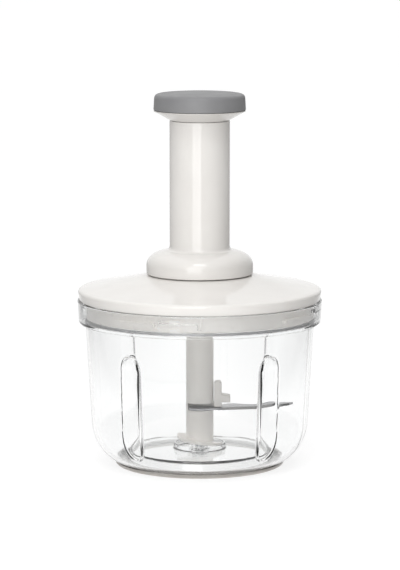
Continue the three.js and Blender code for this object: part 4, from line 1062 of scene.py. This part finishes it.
def palm_flange(material):
    spigot, low = SLEEVE_BORE - SEAT_GAP, PALM_SPIGOT_BOTTOM
    bore, step_bore = spigot - PALM_SPIGOT_WALL, PALM_STEP_RADIUS - PALM_STEP_WALL
    section = softened([
        (0, low), (PALM_BOSS_RADIUS, low, SLIM), (PALM_BOSS_RADIUS, PALM_CEILING), (bore, PALM_CEILING),
        (bore, low, SLIM), (spigot, low, SLIM), (spigot, PALM_SEAT), (SLEEVE_RADIUS, PALM_SEAT, FINE),
        (PALM_RADIUS, PALM_SEAT + PALM_CONE_RISE, FINE), (PALM_RADIUS, PALM_LIP_TOP, TINY),
        (PALM_STEP_RADIUS, PALM_LIP_TOP), (PALM_STEP_RADIUS, PALM_STEP_TOP, SLIM),
        (step_bore, PALM_STEP_TOP, SLIM), (step_bore, PALM_FLOOR_TOP), (PALM_BOSS_RADIUS, PALM_FLOOR_TOP),
        (PALM_BOSS_RADIUS, PALM_BOSS_TOP, SLIM), (0, PALM_BOSS_TOP)])
    body = turned(section, MIDDLE_SIDES)
    x, y = STRIP_WIDTH / 2 + SEAT_GAP, STRIP_THICKNESS / 2 + SEAT_GAP
    slot = block(x, y, low - OVERLAP, STRIP_TOP + SEAT_GAP)
    body = combined("DIFFERENCE", body, slot)
    return piece("palm_flare", body, material, "handle", "white_gloss", "palm_flange")


def palm_cap(material):
    edge, crease = CAP_TOP_RADIUS - CAP_EDGE_ROUND, CREASE_RADIUS + CREASE_WIDTH
    valley, crown = (CREASE_RADIUS, CAP_TOP - CREASE_DEPTH), CAP_TOP + CAP_CROWN / 2
    section = softened([(CAP_BORE, CAP_CEILING), (CAP_BORE, CAP_SEAT, FINE), (CAP_RADIUS, CAP_SEAT, SLIM),
                        (CAP_TOP_RADIUS, CAP_TOP - CAP_EDGE_ROUND)])[1:]
    section += bend_points(section[-1], (CAP_TOP_RADIUS, CAP_TOP), (edge, CAP_TOP), 10)
    section += [(crease, CAP_TOP)]
    section += bend_points((crease, CAP_TOP), (CREASE_RADIUS, CAP_TOP), valley, 5)
    section += bend_points(valley, (CREASE_RADIUS, crown), (CREASE_RADIUS - 2 * CREASE_WIDTH, crown), 5)
    section = [(0, CAP_CEILING), (CAP_BORE, CAP_CEILING), *section, (0, CAP_TOP + CAP_CROWN)]
    bm = turned(section, MIDDLE_SIDES)
    return piece("soft_palm_cap", bm, material, "handle", "grey_soft", "palm_cap")


# Scene around the chopper
def photo_camera():
    """Camera where the photograph was taken from"""
    tilt = math.radians(CAMERA_TILT)
    aim = Vector(AIM)
    place = aim + Vector((0, -math.cos(tilt), math.sin(tilt))) * CAMERA_DISTANCE
    data = bpy.data.cameras.new("photo camera")
    data.sensor_width = SENSOR
    data.lens = SENSOR * CAMERA_DISTANCE / (PICTURE_HEIGHT * MM_PER_PIXEL)
    data.clip_end = CAMERA_REACH * MM
    camera = placed("photo camera", data)
    camera.location = place * MM
    camera.rotation_euler = (aim - place).to_track_quat("-Z", "Y").to_euler()
    bpy.context.scene.camera = camera


def white_paper():
    """Paper lit from below, like a light table's"""
    material, tree, shader, place = blank("white paper")
    shader.inputs["Base Color"].default_value = PAPER_SHADE
    shader.inputs["Roughness"].default_value = 1
    shader.inputs["Specular IOR Level"].default_value = 0
    shader.inputs["Emission Color"].default_value = (1, 1, 1, 1)
    split = tree.nodes.new("ShaderNodeSeparateXYZ")
    tree.links.new(place, split.inputs["Vector"])
    aside = tree.nodes.new("ShaderNodeMath")
    aside.operation = "ABSOLUTE"
    tree.links.new(split.outputs["X"], aside.inputs[0])
    widening = tree.nodes.new("ShaderNodeMath")
    widening.operation = "MULTIPLY_ADD"
    widening.inputs[1].default_value = GLOW_WIDENING
    tree.links.new(split.outputs["Y"], widening.inputs[0])
    tree.links.new(aside.outputs["Value"], widening.inputs[2])
    ends = (GLOW_START, GLOW_END)
    glow = ranged(tree, widening.outputs["Value"], ends, (PAPER_GLOW, PAPER_FAR_GLOW), "SMOOTHSTEP")
    tree.links.new(glow, shader.inputs["Emission Strength"])
    return material


def paper_sweep():
    """Flat sheet of white paper under and behind the chopper"""
    bm = bmesh.new()
    bm.faces.new([bm.verts.new((x, y, 0)) for x, y in (
        (-PAPER_SIDE, PAPER_FRONT), (PAPER_SIDE, PAPER_FRONT), (PAPER_SIDE, PAPER_BACK),
        (-PAPER_SIDE, PAPER_BACK))])
    mesh = meshed("paper_sweep", bm)
    mesh.materials.append(white_paper())
    placed("paper_sweep", mesh)


def studio_room():
    """World: bright behind and above, darker in front and to both sides"""
    world = bpy.data.worlds.new("studio")
    bpy.context.scene.world = world
    world.use_nodes = True
    tree = world.node_tree
    split = tree.nodes.new("ShaderNodeSeparateXYZ")
    tree.links.new(tree.nodes.new("ShaderNodeTexCoord").outputs["Generated"], split.inputs["Vector"])
    level = None
    for axis, *row in ROOM_SHARES:
        part = ranged(tree, split.outputs[axis], row[:2], row[2:], "SMOOTHSTEP")
        if level is not None:
            total = tree.nodes.new("ShaderNodeMath")
            tree.links.new(level, total.inputs[0])
            tree.links.new(part, total.inputs[1])
            part = total.outputs["Value"]
        level = part
    tree.nodes["Background"].inputs["Color"].default_value = (1, 1, 1, 1)
    tree.links.new(level, tree.nodes["Background"].inputs["Strength"])


def softbox(name, angle, distance, height, width, length, power, aim_height, matt_share):
    """Soft light panel, its angle in degrees from the front"""
    data = bpy.data.lights.new(name, "AREA")
    data.shape = "RECTANGLE"
    data.size, data.size_y = width, length
    data.energy = power
    data.diffuse_factor = matt_share
    lamp = placed(name, data)
    lamp.location = (*on_round(distance, angle), height)
    aim = Vector((0, 0, aim_height))
    lamp.rotation_euler = (aim - lamp.location).to_track_quat("-Z", "Y").to_euler()
    lamp.visible_camera = False


def build():
    bpy.context.scene.view_settings.view_transform = "Standard"
    photo_camera()
    white, satin = glossy_white(), satin_white()
    acetal, bright = natural_acetal(), turned_steel()
    clear_bowl(clear_plastic())
    rest_ring(ring_grey())
    turning_pin(bright)
    spindle(spindle_painted_glow_white())
    spindle_bush(acetal)
    blade(blade_steel())
    blade_clip(satin)
    lid_seal(milky_silicone())
    lid_shell(white)
    lid_underside(skirt_painted_glow_white())
    lid_screws(bright)
    guide_tube(satin)
    drive_strip(bright)
    handle_sleeve(white)
    collar_plate(satin)
    palm_flange(flare_painted_shade_white())
    palm_cap(soft_grey())
    kept = {
        "clutch_ring": acetal, "drive_nut": acetal, "thrust_washer": bright, "guide_bush": acetal,
        "spring_seat": bright, "strip_pin": bright, "return_spring": drawn_steel(),
    }
    for node, material in kept.items():
        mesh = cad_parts[node].data
        mesh.materials.clear()
        mesh.materials.append(material)
    paper_sweep()
    studio_room()
    softbox(*KEY_PANEL)
    softbox(*COLUMN_PANEL)


build()
